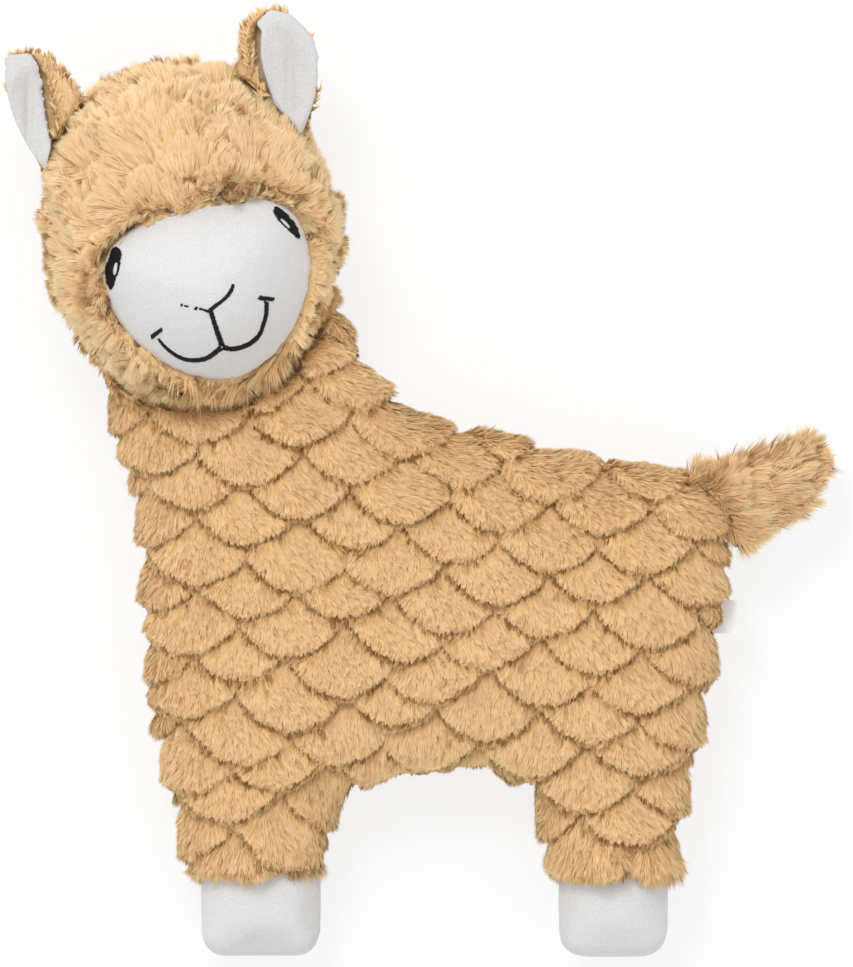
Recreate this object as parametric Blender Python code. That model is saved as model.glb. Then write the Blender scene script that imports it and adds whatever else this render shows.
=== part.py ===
"""A flat stuffed plush llama, lying on its far side on the floor.

The toy is sewn from flat panels, so each panel is a sheet of cloth whose height follows from its distance
to the sewn edge: low at the seam, full in the middle. +X is the toy's rear, +Y is up along its neck, and +Z
points away from the floor. The long pile is counted into each plush panel's thickness. All sizes are in
metres.
"""

import math

import bmesh
import bpy
import numpy as np
from mathutils import Vector
from mathutils.geometry import delaunay_2d_cdt

GAP = 0.0003

# Trunk: its sewn edges, each a smooth curve through its points; the neck's end is inside the head
CHEST_EDGE = (
    (-0.1140, 0.0620), (-0.1095, 0.0390), (-0.1030, 0.0150), (-0.0968, -0.0120),
    (-0.0945, -0.0400), (-0.0918, -0.0700), (-0.0870, -0.0990), (-0.0812, -0.1210), (-0.0785, -0.1315),
)
BELLY_EDGE = (
    (-0.0318, -0.1315), (-0.0292, -0.1190), (-0.0240, -0.1068), (-0.0120, -0.0996), (0.0100, -0.0968),
    (0.0262, -0.0970), (0.0352, -0.1034), (0.0398, -0.1160), (0.0450, -0.1315),
)
BACK_EDGE = (
    (0.0882, -0.1315), (0.0920, -0.1060), (0.0990, -0.0720), (0.1040, -0.0390), (0.1050, -0.0150),
    (0.1000, -0.0005), (0.0850, 0.0062), (0.0560, 0.0120), (0.0270, 0.0182), (0.0028, 0.0246),
    (-0.0126, 0.0360), (-0.0228, 0.0520), (-0.0310, 0.0680),
)
NECK_EDGE = ((-0.0310, 0.0680), (-0.0500, 0.0800), (-0.0750, 0.0830), (-0.1000, 0.0770), (-0.1140, 0.0620))
SEAM_Z = 0.0220
NEAR_DEPTH = 0.0210
FAR_DEPTH = 0.0195
BODY_ROLL = 0.0450
SEAM_LIP = 0.0008
PLUSH = 0.0070
SEAM_RIM = 0.0060
HOLLOW_LIP = 0.0003

# Embossed scales of the plush
SCALE_PITCH = 0.0338
SCALE_ROW = 0.0117
SCALE_TURN = math.radians(-3.0)
SCALE_ORIGIN = (-0.0905, 0.0156)
SCALE_RELIEF = 0.0038
SCALE_CURVE = 1.6
SCALE_LIP = 0.13
SCALE_FALL = 1.7
SCALE_FADE = 0.0050
SCALE_ROWS = (-8, 18)
SCALE_COLUMNS = (-4, 12)
SCALE_CLEAR = 0.0012
SPOT_CLEAR = 0.0035
ARC_STEPS = 6

# Head: an egg with a chin, turned on the neck
HEAD_CENTRE = (-0.0758, 0.0886)
HEAD_Z = 0.0415
HEAD_TURN = math.radians(15.0)
HEAD_SIDE = -0.0033
HEAD_HALF_WIDTH = 0.0495
HEAD_TOP = 0.0550
HEAD_CHIN = 0.0610
HEAD_FRONT = 0.0400
HEAD_BACK = 0.0430
HEAD_ROLL = 0.0420
HOOD = 0.0075
NECK_TUCK = 0.0120
TUFT = 0.0024
TUFT_LENGTH = 0.0190

# Face, in the head's own directions from its centre
FACE_CENTRE_V = -0.0165
FACE_HALF_WIDTH = 0.0350
FACE_TOP = 0.0216
FACE_CHIN = 0.0380
FACE_TOP_POWER = 2.7
FACE_CHIN_POWER = 1.75
FACE_SINK = 0.0045
FACE_CLOTH = 0.0022
FACE_BULGE = 0.0130
FACE_ROLL = 0.0300

# Embroidery on the face
THREAD_HEIGHT = 0.0008
EYE_PLACE = (0.0302, -0.0082)
EYE_LEAN = math.radians(22.0)
EYE_WIDTH = 0.0052
EYE_LENGTH = 0.0138
GLINT_WIDTH = 0.0011
GLINT_LENGTH = 0.0046
GLINT_INWARD = 0.0010
NOSE_THREAD = 0.0019
NOSTRIL_THREAD = 0.0012
NOSE_LEFT = ((-0.0121, -0.0258), (-0.0075, -0.0282), (-0.0032, -0.0302))
NOSE_RIGHT = ((-0.0032, -0.0302), (0.0028, -0.0280), (0.0076, -0.0239))
NOSE_STEM = ((-0.0032, -0.0297), (-0.0024, -0.0365), (-0.0020, -0.0430))
SMILE_THREAD = 0.0014
SMILE = (
    (-0.0219, -0.0333), (-0.0184, -0.0405), (-0.0117, -0.0452), (-0.0060, -0.0462), (-0.0020, -0.0446),
    (0.0027, -0.0455), (0.0093, -0.0437), (0.0141, -0.0386), (0.0170, -0.0318),
)
SMILE_TICK = 0.0052
SMILE_TICK_SLOPE = 0.35

# Ears, in the head's own directions from its centre
EAR_Z = 0.0500
EAR_BACK = 0.0060
EAR_FRONT = 0.0045
EAR_ROLL = 0.0090
LINING = 0.0022
EAR_LEFT_EDGE = (
    (-0.0380, 0.0200), (-0.0450, 0.0320), (-0.0490, 0.0460), (-0.0496, 0.0575), (-0.0470, 0.0694),
    (-0.0405, 0.0718), (-0.0312, 0.0672), (-0.0252, 0.0545), (-0.0195, 0.0380), (-0.0200, 0.0240),
)
EAR_LEFT_LINING = (
    (-0.0385, 0.0225), (-0.0448, 0.0330), (-0.0485, 0.0465), (-0.0491, 0.0575), (-0.0466, 0.0680),
    (-0.0400, 0.0668), (-0.0372, 0.0570), (-0.0382, 0.0450), (-0.0388, 0.0330),
)
EAR_RIGHT_EDGE = (
    (0.0180, 0.0220), (0.0210, 0.0380), (0.0262, 0.0490), (0.0308, 0.0606), (0.0396, 0.0636),
    (0.0476, 0.0590), (0.0532, 0.0480), (0.0528, 0.0370), (0.0470, 0.0250), (0.0380, 0.0150),
)
EAR_RIGHT_LINING = (
    (0.0385, 0.0175), (0.0352, 0.0290), (0.0342, 0.0395), (0.0344, 0.0490), (0.0372, 0.0570),
    (0.0426, 0.0600), (0.0476, 0.0570), (0.0527, 0.0470), (0.0522, 0.0370), (0.0462, 0.0255),
)

# Tail, from its root in the rump's seam to its tip
TAIL_EDGE = (
    (0.0900, -0.0205), (0.0990, -0.0220), (0.1090, -0.0216), (0.1180, -0.0150), (0.1288, -0.0096),
    (0.1366, -0.0004), (0.1392, 0.0085), (0.1362, 0.0145), (0.1280, 0.0165), (0.1180, 0.0132),
    (0.1070, 0.0102), (0.0960, 0.0055), (0.0860, 0.0030),
)
TAIL_TOP_DEPTH = 0.0095
TAIL_UNDER_DEPTH = 0.0050
TAIL_ROLL = 0.0120

# Feet
FOOT_LENGTH = 0.0280
FOOT_INSET = 0.0035
FOOT_CORNER = 0.0080
FOOT_DEPTH = 0.0125
FOOT_ROLL = 0.0150
FOOT_CLOTH = 0.0022

# Label in the rump's seam
LABEL_ROOT = 0.0050
LABEL_SHOWS = 0.0045
LABEL_WIDTH = 0.0112
LABEL_THICKNESS = 0.0006
LABEL_Y = -0.0447

# How finely the cloth is divided
OUTLINE_STEP = 0.0060
SEAM_RING = 0.0022
LINE_CLEAR = 0.0012
HOLLOW_STEP = 0.0130
HOLLOW_RINGS = (0.0030, 0.0090)
HOLLOW_GRID = 0.0200
HEAD_RINGS = (0.0020, 0.0060, 0.0120)
HEAD_GRID = 0.0080
FACE_GRID = 0.0052
EAR_STEP = 0.0060
EAR_GRID = 0.0080
TAIL_GRID = 0.0080
FOOT_GRID = 0.0085
STITCH_STEP = 0.0024
RING_KEPT = 0.93
GRID_CLEAR = 0.45
GRID_ROW = 0.87
NO_GRID = 1.0
CORNER_STEPS = 4
MERGE = 0.000001

PALE_FUR = (0.66, 0.41, 0.19, 1.0)
WHITE_CLOTH = (0.80, 0.80, 0.79, 1.0)
BLACK_THREAD = (0.012, 0.012, 0.013, 1.0)
STUFFING = (0.86, 0.86, 0.84, 1.0)
FUR_ROUGH = 0.9
CLOTH_ROUGH = 0.8
THREAD_ROUGH = 0.5
STUFFING_ROUGH = 0.95
LABEL_ROUGH = 0.7
SHARP_ANGLE = math.radians(40.0)


def material(name, colour, roughness):
    """One plain finish for one node."""
    made = bpy.data.materials.new(name)
    made.use_nodes = True
    shader = made.node_tree.nodes["Principled BSDF"]
    shader.inputs["Base Color"].default_value = colour
    shader.inputs["Roughness"].default_value = roughness
    shader.inputs["Metallic"].default_value = 0.0
    made.diffuse_color = colour
    return made


def smooth_curve(points, step, closed=False):
    """Points about one step apart on a Catmull-Rom curve through the given ones."""
    knots = [np.array(p) for p in points]
    count = len(knots)
    curve = []
    for k in range(count if closed else count - 1):
        before = knots[k - 1] if closed or k > 0 else 2 * knots[0] - knots[1]
        start = knots[k]
        end = knots[(k + 1) % count]
        after = knots[(k + 2) % count] if closed or k + 2 < count else 2 * end - start
        pieces = max(1, round(float(np.linalg.norm(end - start)) / step))
        for i in range(pieces):
            t = i / pieces
            curve.append(
                0.5 * (2 * start + (end - before) * t + (2 * before - 5 * start + 4 * end - after) * t**2
                       + (3 * start - before - 3 * end + after) * t**3)
            )
    if not closed:
        curve.append(knots[-1])
    return [tuple(p) for p in curve]


def straight(start, end, step):
    """Points between two corners, about one step apart."""
    pieces = max(1, round(math.dist(start, end) / step))
    return [tuple(np.array(start) + (np.array(end) - start) * k / pieces) for k in range(1, pieces)]


def distance_to(lines, points):
    """Distance from each point to the nearest of some open lines."""
    places = np.array(points, dtype=float).reshape(-1, 2)
    nearest = np.full(len(places), np.inf)
    for line in lines:
        corners = np.array(line)
        for start, end in zip(corners[:-1], corners[1:]):
            along = end - start
            share = np.clip((places - start) @ along / max(float(along @ along), 1e-12), 0.0, 1.0)
            nearest = np.minimum(nearest, np.linalg.norm(places - start - share[:, None] * along, axis=1))
    return nearest


def inside(outline, points):
    """Whether each point lies within a closed outline, by the even-odd rule."""
    places = np.array(points, dtype=float).reshape(-1, 2)
    crossings = np.zeros(len(places), dtype=int)
    corners = np.array(outline)
    for start, end in zip(corners, np.roll(corners, -1, axis=0)):
        spans = (start[1] > places[:, 1]) != (end[1] > places[:, 1])
        rise = end[1] - start[1] if end[1] != start[1] else 1.0
        reach = start[0] + (places[:, 1] - start[1]) * (end[0] - start[0]) / rise
        crossings += spans & (places[:, 0] < reach)
    return crossings % 2 == 1


def area(outline):
    """The area within a closed outline, positive if it runs anticlockwise."""
    corners = np.array(outline)
    after = np.roll(corners, -1, axis=0)
    return 0.5 * float(np.sum(corners[:, 0] * after[:, 1] - after[:, 0] * corners[:, 1]))


def grown(outline, amount):
    """A closed outline moved outwards, or inwards for a negative amount."""
    corners = np.array(outline)
    along = np.roll(corners, -1, axis=0) - np.roll(corners, 1, axis=0)
    outward = np.stack([along[:, 1], -along[:, 0]], axis=1)
    outward /= np.linalg.norm(outward, axis=1)[:, None]
    return [tuple(p) for p in corners + outward * math.copysign(amount, amount * area(outline))]


def rolled(distance, depth, roll):
    """Height of stuffed cloth at some distance from its sewn edge."""
    share = np.clip(np.asarray(distance) / roll, 0.0, 1.0)
    return depth * np.sqrt(1.0 - (1.0 - share) ** 2)


def fill_points(outline, sewn, rings, grid):
    """Points inside an outline: rings that follow its sewn edge, and a staggered grid in the middle."""
    free = []
    for ring in rings:
        candidates = grown(outline, -ring)
        good = inside(outline, candidates) & (distance_to(sewn, candidates) > RING_KEPT * ring)
        free.extend(p for p, ok in zip(candidates, good) if ok)
    low = np.min(np.array(outline), axis=0)
    high = np.max(np.array(outline), axis=0)
    middle = []
    for row, y in enumerate(np.arange(low[1] + 0.5 * grid, high[1], GRID_ROW * grid)):
        start = low[0] + (0.25 + 0.5 * (row % 2)) * grid
        middle.extend((x, y) for x in np.arange(start, high[0], grid))
    clear = max(rings, default=0.0) + GRID_CLEAR * grid
    edge = [*outline, outline[0]]
    good = inside(outline, middle) & (distance_to([edge], middle) > clear)
    return free + [p for p, ok in zip(middle, good) if ok]


class Plan:
    """A triangulated outline in plan view, from which solids of any height are raised."""

    def __init__(self, outline, sewn, free=(), lines=(), more=()):
        self.sewn = sewn
        corners = []
        regions = []
        for region in (outline, *more):
            regions.append([len(corners) + k for k in range(len(region))])
            corners.extend(region if area(region) > 0 else region[::-1])
        edges = []
        for line in lines:
            first = len(corners)
            corners.extend(line)
            edges.extend((first + k, first + k + 1) for k in range(len(line) - 1))
        corners.extend(free)
        points, _, triangles, _, _, owners = delaunay_2d_cdt(
            [Vector(p) for p in corners], edges, regions, 0, MERGE, True
        )
        kept = [tuple(face) for face, owner in zip(triangles, owners) if owner]
        used = sorted({k for face in kept for k in face})
        order = {k: n for n, k in enumerate(used)}
        self.points = np.array([tuple(points[k]) for k in used])
        self.triangles = [tuple(order[k] for k in face) for face in kept]
        self.loop = self.boundary()

    def boundary(self):
        """The corners of the outer edge, in order."""
        follow = {}
        for face in self.triangles:
            for start, end in zip(face, face[1:] + face[:1]):
                follow[(start, end)] = follow.get((start, end), 0) + 1
        onward = {a: b for (a, b) in follow if (b, a) not in follow}
        first = next(iter(onward))
        loop = [first]
        while onward[loop[-1]] != first:
            loop.append(onward[loop[-1]])
        return loop

    def edge_distance(self):
        return distance_to(self.sewn, self.points)

    def face(self, model, points, height):
        """One side of a solid: a single flat face at one height, or the whole triangulation at many."""
        if np.ndim(height) == 0:
            corners = {k: model.verts.new((*points[k], height)) for k in self.loop}
            model.faces.new([corners[k] for k in self.loop])
            return corners
        corners = {k: model.verts.new((*point, z)) for k, (point, z) in enumerate(zip(points, height))}
        for triangle in self.triangles:
            model.faces.new([corners[k] for k in triangle])
        return corners

    def solid(self, name, top, bottom, grow=0.0):
        """A closed solid between two sides, whose edge can be moved outwards."""
        points = self.points.copy()
        if grow:
            points[self.loop] = grown(points[self.loop], grow)
        model = bmesh.new()
        upper = self.face(model, points, top)
        lower = self.face(model, points, bottom)
        for start, end in zip(self.loop, self.loop[1:] + self.loop[:1]):
            model.faces.new((upper[start], lower[start], lower[end], upper[end]))
        bmesh.ops.triangulate(model, faces=[face for face in model.faces if len(face.verts) > 3])
        bmesh.ops.recalc_face_normals(model, faces=model.faces)
        mesh = bpy.data.meshes.new(name)
        model.to_mesh(mesh)
        model.free()
        made = bpy.data.objects.new(name, mesh)
        bpy.context.collection.objects.link(made)
        return made


def as_cutter(piece):
    piece.hide_render = True
    piece.display_type = "WIRE"
    return piece


def combine(piece, other, operation):
    """Cut or join two solids for good, so that a cutter can go."""
    boolean = piece.modifiers.new(operation.lower(), "BOOLEAN")
    boolean.operation = operation
    boolean.object = other
    boolean.solver = "EXACT"
    bpy.context.view_layer.update()
    result = bpy.data.meshes.new_from_object(piece.evaluated_get(bpy.context.evaluated_depsgraph_get()))
    piece.modifiers.clear()
    old = piece.data
    name = old.name
    piece.data = result
    bpy.data.meshes.remove(old)
    result.name = name


def cut(piece, *cutters):
    for cutter in cutters:
        combine(piece, cutter, "DIFFERENCE")


def finish(piece, colour, roughness):
    """Give a node its own finish and its smooth shading."""
    piece.data.materials.clear()
    piece.data.materials.append(material(piece.name, colour, roughness))
    piece.data.shade_smooth()
    piece.data.set_sharp_from_angle(angle=SHARP_ANGLE)


def scale_edges(across):
    """How far an arc's highest line lies above its row, in rows, at a place across its scale."""
    return np.abs(2.0 * across) ** SCALE_CURVE * (1.0 - SCALE_LIP)


def scale_swell(across):
    return np.sqrt(np.clip(1.0 - 4.0 * across**2, 0.0, 1.0))


def to_plan(column, row):
    """From scale columns and rows to the plan."""
    x = column * SCALE_PITCH
    y = -row * SCALE_ROW
    return (
        SCALE_ORIGIN[0] + x * math.cos(SCALE_TURN) - y * math.sin(SCALE_TURN),
        SCALE_ORIGIN[1] + x * math.sin(SCALE_TURN) + y * math.cos(SCALE_TURN),
    )


def to_scales(points):
    """From the plan to scale columns and rows."""
    away = np.array(points) - np.array(SCALE_ORIGIN)
    x = away[:, 0] * math.cos(SCALE_TURN) + away[:, 1] * math.sin(SCALE_TURN)
    y = -away[:, 0] * math.sin(SCALE_TURN) + away[:, 1] * math.cos(SCALE_TURN)
    return x / SCALE_PITCH, -y / SCALE_ROW


def scale_relief(points):
    """Height of the embossed scales: each rises to its lower edge and drops to the scale below it."""
    columns, rows = to_scales(points)
    heights = np.zeros(len(columns))
    for k, (column, row) in enumerate(zip(columns, rows)):
        drop = None
        for j in range(math.floor(row) - 1, math.floor(row) + 5):
            shift = 0.0 if j % 2 else 0.5
            across = column - shift - round(column - shift)
            edge = j - float(scale_edges(across))
            lip = edge + SCALE_LIP * float(scale_swell(across))
            if row > lip + 1e-6:
                continue
            swell = float(scale_swell(across))
            if row > edge + 1e-6:
                drop = (swell, (row - edge) / max(lip - edge, 1e-6))
                continue
            face = swell * max(0.0, 1.0 - (edge - row) / SCALE_FALL)
            heights[k] = face if drop is None else drop[0] + (face - drop[0]) * drop[1]
            break
    return heights * SCALE_RELIEF


def scale_lines(outline):
    """The upper and lower line of each scale's edge, kept to what lies inside the outline."""
    lines = []
    spots = []
    edge = list(outline) + [outline[0]]
    for j in range(*SCALE_ROWS):
        for i in range(*SCALE_COLUMNS):
            centre = i + (0.0 if j % 2 else 0.5)
            across = np.linspace(-0.5, 0.5, ARC_STEPS + 1)
            edges = j - scale_edges(across)
            lips = edges + SCALE_LIP * scale_swell(across)
            upper = [to_plan(centre + a, row) for a, row in zip(across, edges)]
            lower = [to_plan(centre + a, row) for a, row in zip(across, lips)]
            for line in (upper, lower):
                good = inside(outline, line) & (distance_to([edge], line) > SCALE_CLEAR)
                run = []
                for place, ok in zip(line + [None], list(good) + [False]):
                    if ok:
                        run.append(place)
                        continue
                    if len(run) > 1:
                        lines.append(run)
                    run = []
            spots.append(to_plan(centre, j - 0.95))
            spots.append(to_plan(centre - 0.24, j - 0.75))
            spots.append(to_plan(centre + 0.24, j - 0.75))
    good = inside(outline, spots) & (distance_to([edge], spots) > SPOT_CLEAR)
    return lines, [p for p, ok in zip(spots, good) if ok]


def body_edges(step):
    """The chest, the belly between the legs, the back and the neck's end, joined by the legs' open ends."""
    return [smooth_curve(edge, step) for edge in (CHEST_EDGE, BELLY_EDGE, BACK_EDGE, NECK_EDGE)]


def extended(line, amount):
    """A line run on straight past both of its ends."""
    points = [np.array(p) for p in line]
    first = points[0] + (points[0] - points[1]) * amount / np.linalg.norm(points[0] - points[1])
    last = points[-1] + (points[-1] - points[-2]) * amount / np.linalg.norm(points[-1] - points[-2])
    return [tuple(first), *line, tuple(last)]


def body_plan(edges):
    """The plush of trunk, neck and legs, with a corner on each line of the scales."""
    chest, belly, back, neck = edges
    front_end = straight(chest[-1], belly[0], OUTLINE_STEP)
    rear_end = straight(belly[-1], back[0], OUTLINE_STEP)
    outline = [*chest, *front_end, *belly, *rear_end, *back, *neck[1:-1]]
    sewn = [extended(chest, FOOT_LENGTH), extended(belly, FOOT_LENGTH), extended(back, FOOT_LENGTH), neck]
    lines, spots = scale_lines(outline)
    ring = fill_points(outline, sewn, (SEAM_RING,), NO_GRID)
    clear = distance_to(lines, ring) > LINE_CLEAR
    return Plan(outline, sewn, spots + [p for p, ok in zip(ring, clear) if ok], lines)


def hollow_plan(edges):
    """What the trunk's plush leaves free inside, run on through the open ends of the legs."""
    chest, belly, back, neck = edges
    chest = extended(chest, FOOT_LENGTH)[1:]
    belly = extended(belly, FOOT_LENGTH)
    back = extended(back, FOOT_LENGTH)[:-1]
    outline = grown([*chest, *belly, *back, *neck[1:-1]], -SEAM_RIM)
    legs = len(chest)
    sewn = [extended(outline[legs : legs + len(belly)], FOOT_LENGTH),
            extended([*outline[legs + len(belly) :], *outline[:legs]], FOOT_LENGTH)]
    return Plan(outline, sewn, fill_points(outline, sewn, HOLLOW_RINGS, HOLLOW_GRID))


def block(name, low, high):
    """A plain block, for cutting."""
    corners = [(low[0], low[1]), (high[0], low[1]), (high[0], high[1]), (low[0], high[1])]
    return Plan(corners, [corners]).solid(name, high[2], low[2])


def build_body(head_shape, neck_space):
    """Both plush panels of the body, the stuffing between them, and the shape that the tail is cut by."""
    plan = body_plan(body_edges(OUTLINE_STEP))
    away = plan.edge_distance()
    relief = scale_relief(plan.points) * np.clip(away / SCALE_FADE, 0.0, 1.0)
    near = SEAM_Z + 0.5 * GAP + SEAM_LIP + rolled(away, NEAR_DEPTH, BODY_ROLL) + relief
    far = np.maximum(SEAM_Z - 0.5 * GAP - SEAM_LIP - rolled(away, FAR_DEPTH, BODY_ROLL) - relief, 0.0)
    near_panel = plan.solid("body_near_panel", near, SEAM_Z + 0.5 * GAP)
    far_panel = plan.solid("body_far_panel", SEAM_Z - 0.5 * GAP, far)
    shape = as_cutter(plan.solid("body_shape", near + GAP, far - GAP, GAP))

    hollow = hollow_plan(body_edges(HOLLOW_STEP))
    inward = hollow.edge_distance()
    above = SEAM_Z + rolled(inward, NEAR_DEPTH - PLUSH, BODY_ROLL - SEAM_RIM)
    below = SEAM_Z - rolled(inward, FAR_DEPTH - PLUSH, BODY_ROLL - SEAM_RIM)
    space = as_cutter(hollow.solid("body_hollow", above + GAP, below - GAP, GAP))
    filling = hollow.solid("body_filling", above + HOLLOW_LIP, below - HOLLOW_LIP, -GAP)
    fur_end = CHEST_EDGE[-1][1]
    floor = block("leg_ends", (CHEST_EDGE[0][0], fur_end - 4 * FOOT_LENGTH, -SEAM_Z),
                  (BACK_EDGE[0][0] + FOOT_LENGTH, fur_end, 3 * SEAM_Z))
    cut(filling, as_cutter(floor), neck_space, head_shape)
    cut(near_panel, space, neck_space, head_shape)
    cut(far_panel, space, neck_space, head_shape)
    for piece in (near_panel, far_panel):
        finish(piece, PALE_FUR, FUR_ROUGH)
    finish(filling, STUFFING, STUFFING_ROUGH)
    return near_panel, far_panel, shape


def egg(half_width, top, chin, top_power=2.0, chin_power=2.0, count=48):
    """A closed outline of two half ovals; a power over 2 squares a half, and one under 2 sharpens it."""
    outline = []
    for k in range(count):
        angle = 2 * math.pi * k / count
        across, up = math.cos(angle), math.sin(angle)
        power = top_power if up >= 0 else chin_power
        u = half_width * math.copysign(abs(across) ** (2 / power), across)
        v = (top if up >= 0 else chin) * math.copysign(abs(up) ** (2 / power), up)
        outline.append((u, v))
    return outline


def closed(outline):
    return [*outline, outline[0]]


def head_outline(count=48):
    """The hood's edge; the hood is fuller behind the face's left side than behind its right."""
    return [(u + HEAD_SIDE, v) for u, v in egg(HEAD_HALF_WIDTH, HEAD_TOP, HEAD_CHIN, count=count)]


def place_on_head(piece):
    piece.location = (*HEAD_CENTRE, 0.0)
    piece.rotation_euler = (0.0, 0.0, HEAD_TURN)
    return piece


def tufts(points):
    """The crown's loose locks, as soft swells of the plush."""
    turn = 2 * math.pi / TUFT_LENGTH
    u, v = points[:, 0], points[:, 1]
    return TUFT * np.sin(turn * u + 1.2 * np.sin(0.8 * turn * v)) * np.sin(turn * v + 0.9 * np.sin(turn * u))


def face_outline():
    rim = egg(FACE_HALF_WIDTH, FACE_TOP, FACE_CHIN, FACE_TOP_POWER, FACE_CHIN_POWER, 60)
    return [(u, v + FACE_CENTRE_V) for u, v in rim]


def face_height(points):
    """The face's cloth: it sits a little below the hood's pile and swells forward into the muzzle."""
    head = distance_to([closed(head_outline())], points)
    rim = distance_to([closed(face_outline())], points) * inside(face_outline(), points)
    swell = 1.0 - (1.0 - np.clip(rim / FACE_ROLL, 0.0, 1.0)) ** 2
    return HEAD_Z + rolled(head, HEAD_FRONT, HEAD_ROLL) - FACE_SINK + FACE_BULGE * swell


def build_head():
    """The hood's two panels, the face in its hole and the stuffing; the head's shape cuts what meets it."""
    outline = head_outline()
    sewn = [closed(outline)]
    plan = Plan(outline, sewn, fill_points(outline, sewn, HEAD_RINGS, HEAD_GRID))
    away = plan.edge_distance()
    swells = tufts(plan.points) * np.clip(away / HEAD_RINGS[-1], 0.0, 1.0)
    front = HEAD_Z + 0.5 * GAP + SEAM_LIP + rolled(away, HEAD_FRONT, HEAD_ROLL) + swells
    back = np.maximum(HEAD_Z - 0.5 * GAP - SEAM_LIP - rolled(away, HEAD_BACK, HEAD_ROLL) - swells, 0.0)
    hood = place_on_head(plan.solid("head_front_panel", front, HEAD_Z + 0.5 * GAP))
    rear = place_on_head(plan.solid("head_back_panel", HEAD_Z - 0.5 * GAP, back))
    shape = as_cutter(place_on_head(plan.solid("head_shape", front + GAP, back - GAP, GAP)))

    trim = Plan(grown(outline, -NECK_TUCK), [])
    neck_space = as_cutter(place_on_head(trim.solid("neck_space", 3 * HEAD_Z, -HEAD_Z)))

    inner = grown(head_outline(32), -HOOD)
    inner_plan = Plan(inner, [closed(inner)], fill_points(inner, [closed(inner)], HOLLOW_RINGS, HOLLOW_GRID))
    inward = inner_plan.edge_distance()
    above = HEAD_Z + rolled(inward, HEAD_FRONT - HOOD, HEAD_ROLL - HOOD)
    below = HEAD_Z - rolled(inward, HEAD_BACK - HOOD, HEAD_ROLL - HOOD)
    space = as_cutter(place_on_head(inner_plan.solid("head_hollow", above + GAP, below - GAP, GAP)))
    under_face = face_height(inner_plan.points) - FACE_CLOTH - GAP
    above = np.where(inside(face_outline(), inner_plan.points), np.minimum(above, under_face), above)
    filling = place_on_head(inner_plan.solid("head_filling", above + HOLLOW_LIP, below - HOLLOW_LIP, -GAP))

    rim = face_outline()
    face_plan = Plan(rim, [closed(rim)], fill_points(rim, [closed(rim)], (SEAM_RING,), FACE_GRID))
    surface = face_height(face_plan.points)
    face = place_on_head(face_plan.solid("face_panel", surface, surface - FACE_CLOTH))
    hole = as_cutter(place_on_head(face_plan.solid("face_hole", 3 * HEAD_Z, HEAD_Z + HOOD, GAP)))
    cut(hood, space, hole)
    cut(rear, space)
    finish(hood, PALE_FUR, FUR_ROUGH)
    finish(rear, PALE_FUR, FUR_ROUGH)
    finish(face, WHITE_CLOTH, CLOTH_ROUGH)
    finish(filling, STUFFING, STUFFING_ROUGH)
    return shape, neck_space


def stroke(line, width):
    """The outline of one line of satin stitch."""
    points = np.array(smooth_curve(line, STITCH_STEP))
    along = np.gradient(points, axis=0)
    along /= np.linalg.norm(along, axis=1)[:, None]
    side = np.stack([-along[:, 1], along[:, 0]], axis=1) * 0.5 * width
    return [tuple(p) for p in points + side] + [tuple(p) for p in (points - side)[::-1]]


def stitched(name, outline, more=()):
    """Thread that lies on the face, along its swell."""
    plan = Plan(outline, [closed(outline)], more=more)
    surface = face_height(plan.points)
    piece = place_on_head(plan.solid(name, surface + GAP + THREAD_HEIGHT, surface + GAP))
    finish(piece, BLACK_THREAD, THREAD_ROUGH)
    return piece


def turned(outline, centre, angle):
    """An outline turned about its own middle and put in its place."""
    cosine, sine = math.cos(angle), math.sin(angle)
    return [(centre[0] + u * cosine - v * sine, centre[1] + u * sine + v * cosine) for u, v in outline]


def build_embroidery():
    """Two eyes with a glint left bare, the nose's three lines and the smile with its end ticks."""
    oval = egg(0.5 * EYE_WIDTH, 0.5 * EYE_LENGTH, 0.5 * EYE_LENGTH, count=24)
    bare = egg(0.5 * GLINT_WIDTH, 0.5 * GLINT_LENGTH, 0.5 * GLINT_LENGTH, count=12)
    for name, side in (("eye_left", -1), ("eye_right", 1)):
        centre = (side * EYE_PLACE[0], EYE_PLACE[1])
        eye = stitched(name, turned(oval, centre, side * EYE_LEAN))
        middle = (centre[0] - side * GLINT_INWARD, centre[1])
        glint = Plan(turned(bare, middle, side * EYE_LEAN), []).solid("glint", 4 * HEAD_Z, 0.0)
        cut(eye, as_cutter(place_on_head(glint)))
    arms = (stroke(NOSE_LEFT, NOSTRIL_THREAD), stroke(NOSE_RIGHT, NOSTRIL_THREAD))
    stitched("nose_embroidery", stroke(NOSE_STEM, NOSE_THREAD), arms)
    ticks = []
    for end, side in ((SMILE[0], 1), (SMILE[-1], -1)):
        across, up = 0.5 * SMILE_TICK, 0.5 * SMILE_TICK * SMILE_TICK_SLOPE * side
        ticks.append(stroke(((end[0] - across, end[1] - up), (end[0] + across, end[1] + up)), SMILE_THREAD))
    stitched("mouth_embroidery", stroke(SMILE, SMILE_THREAD), ticks)


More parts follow.
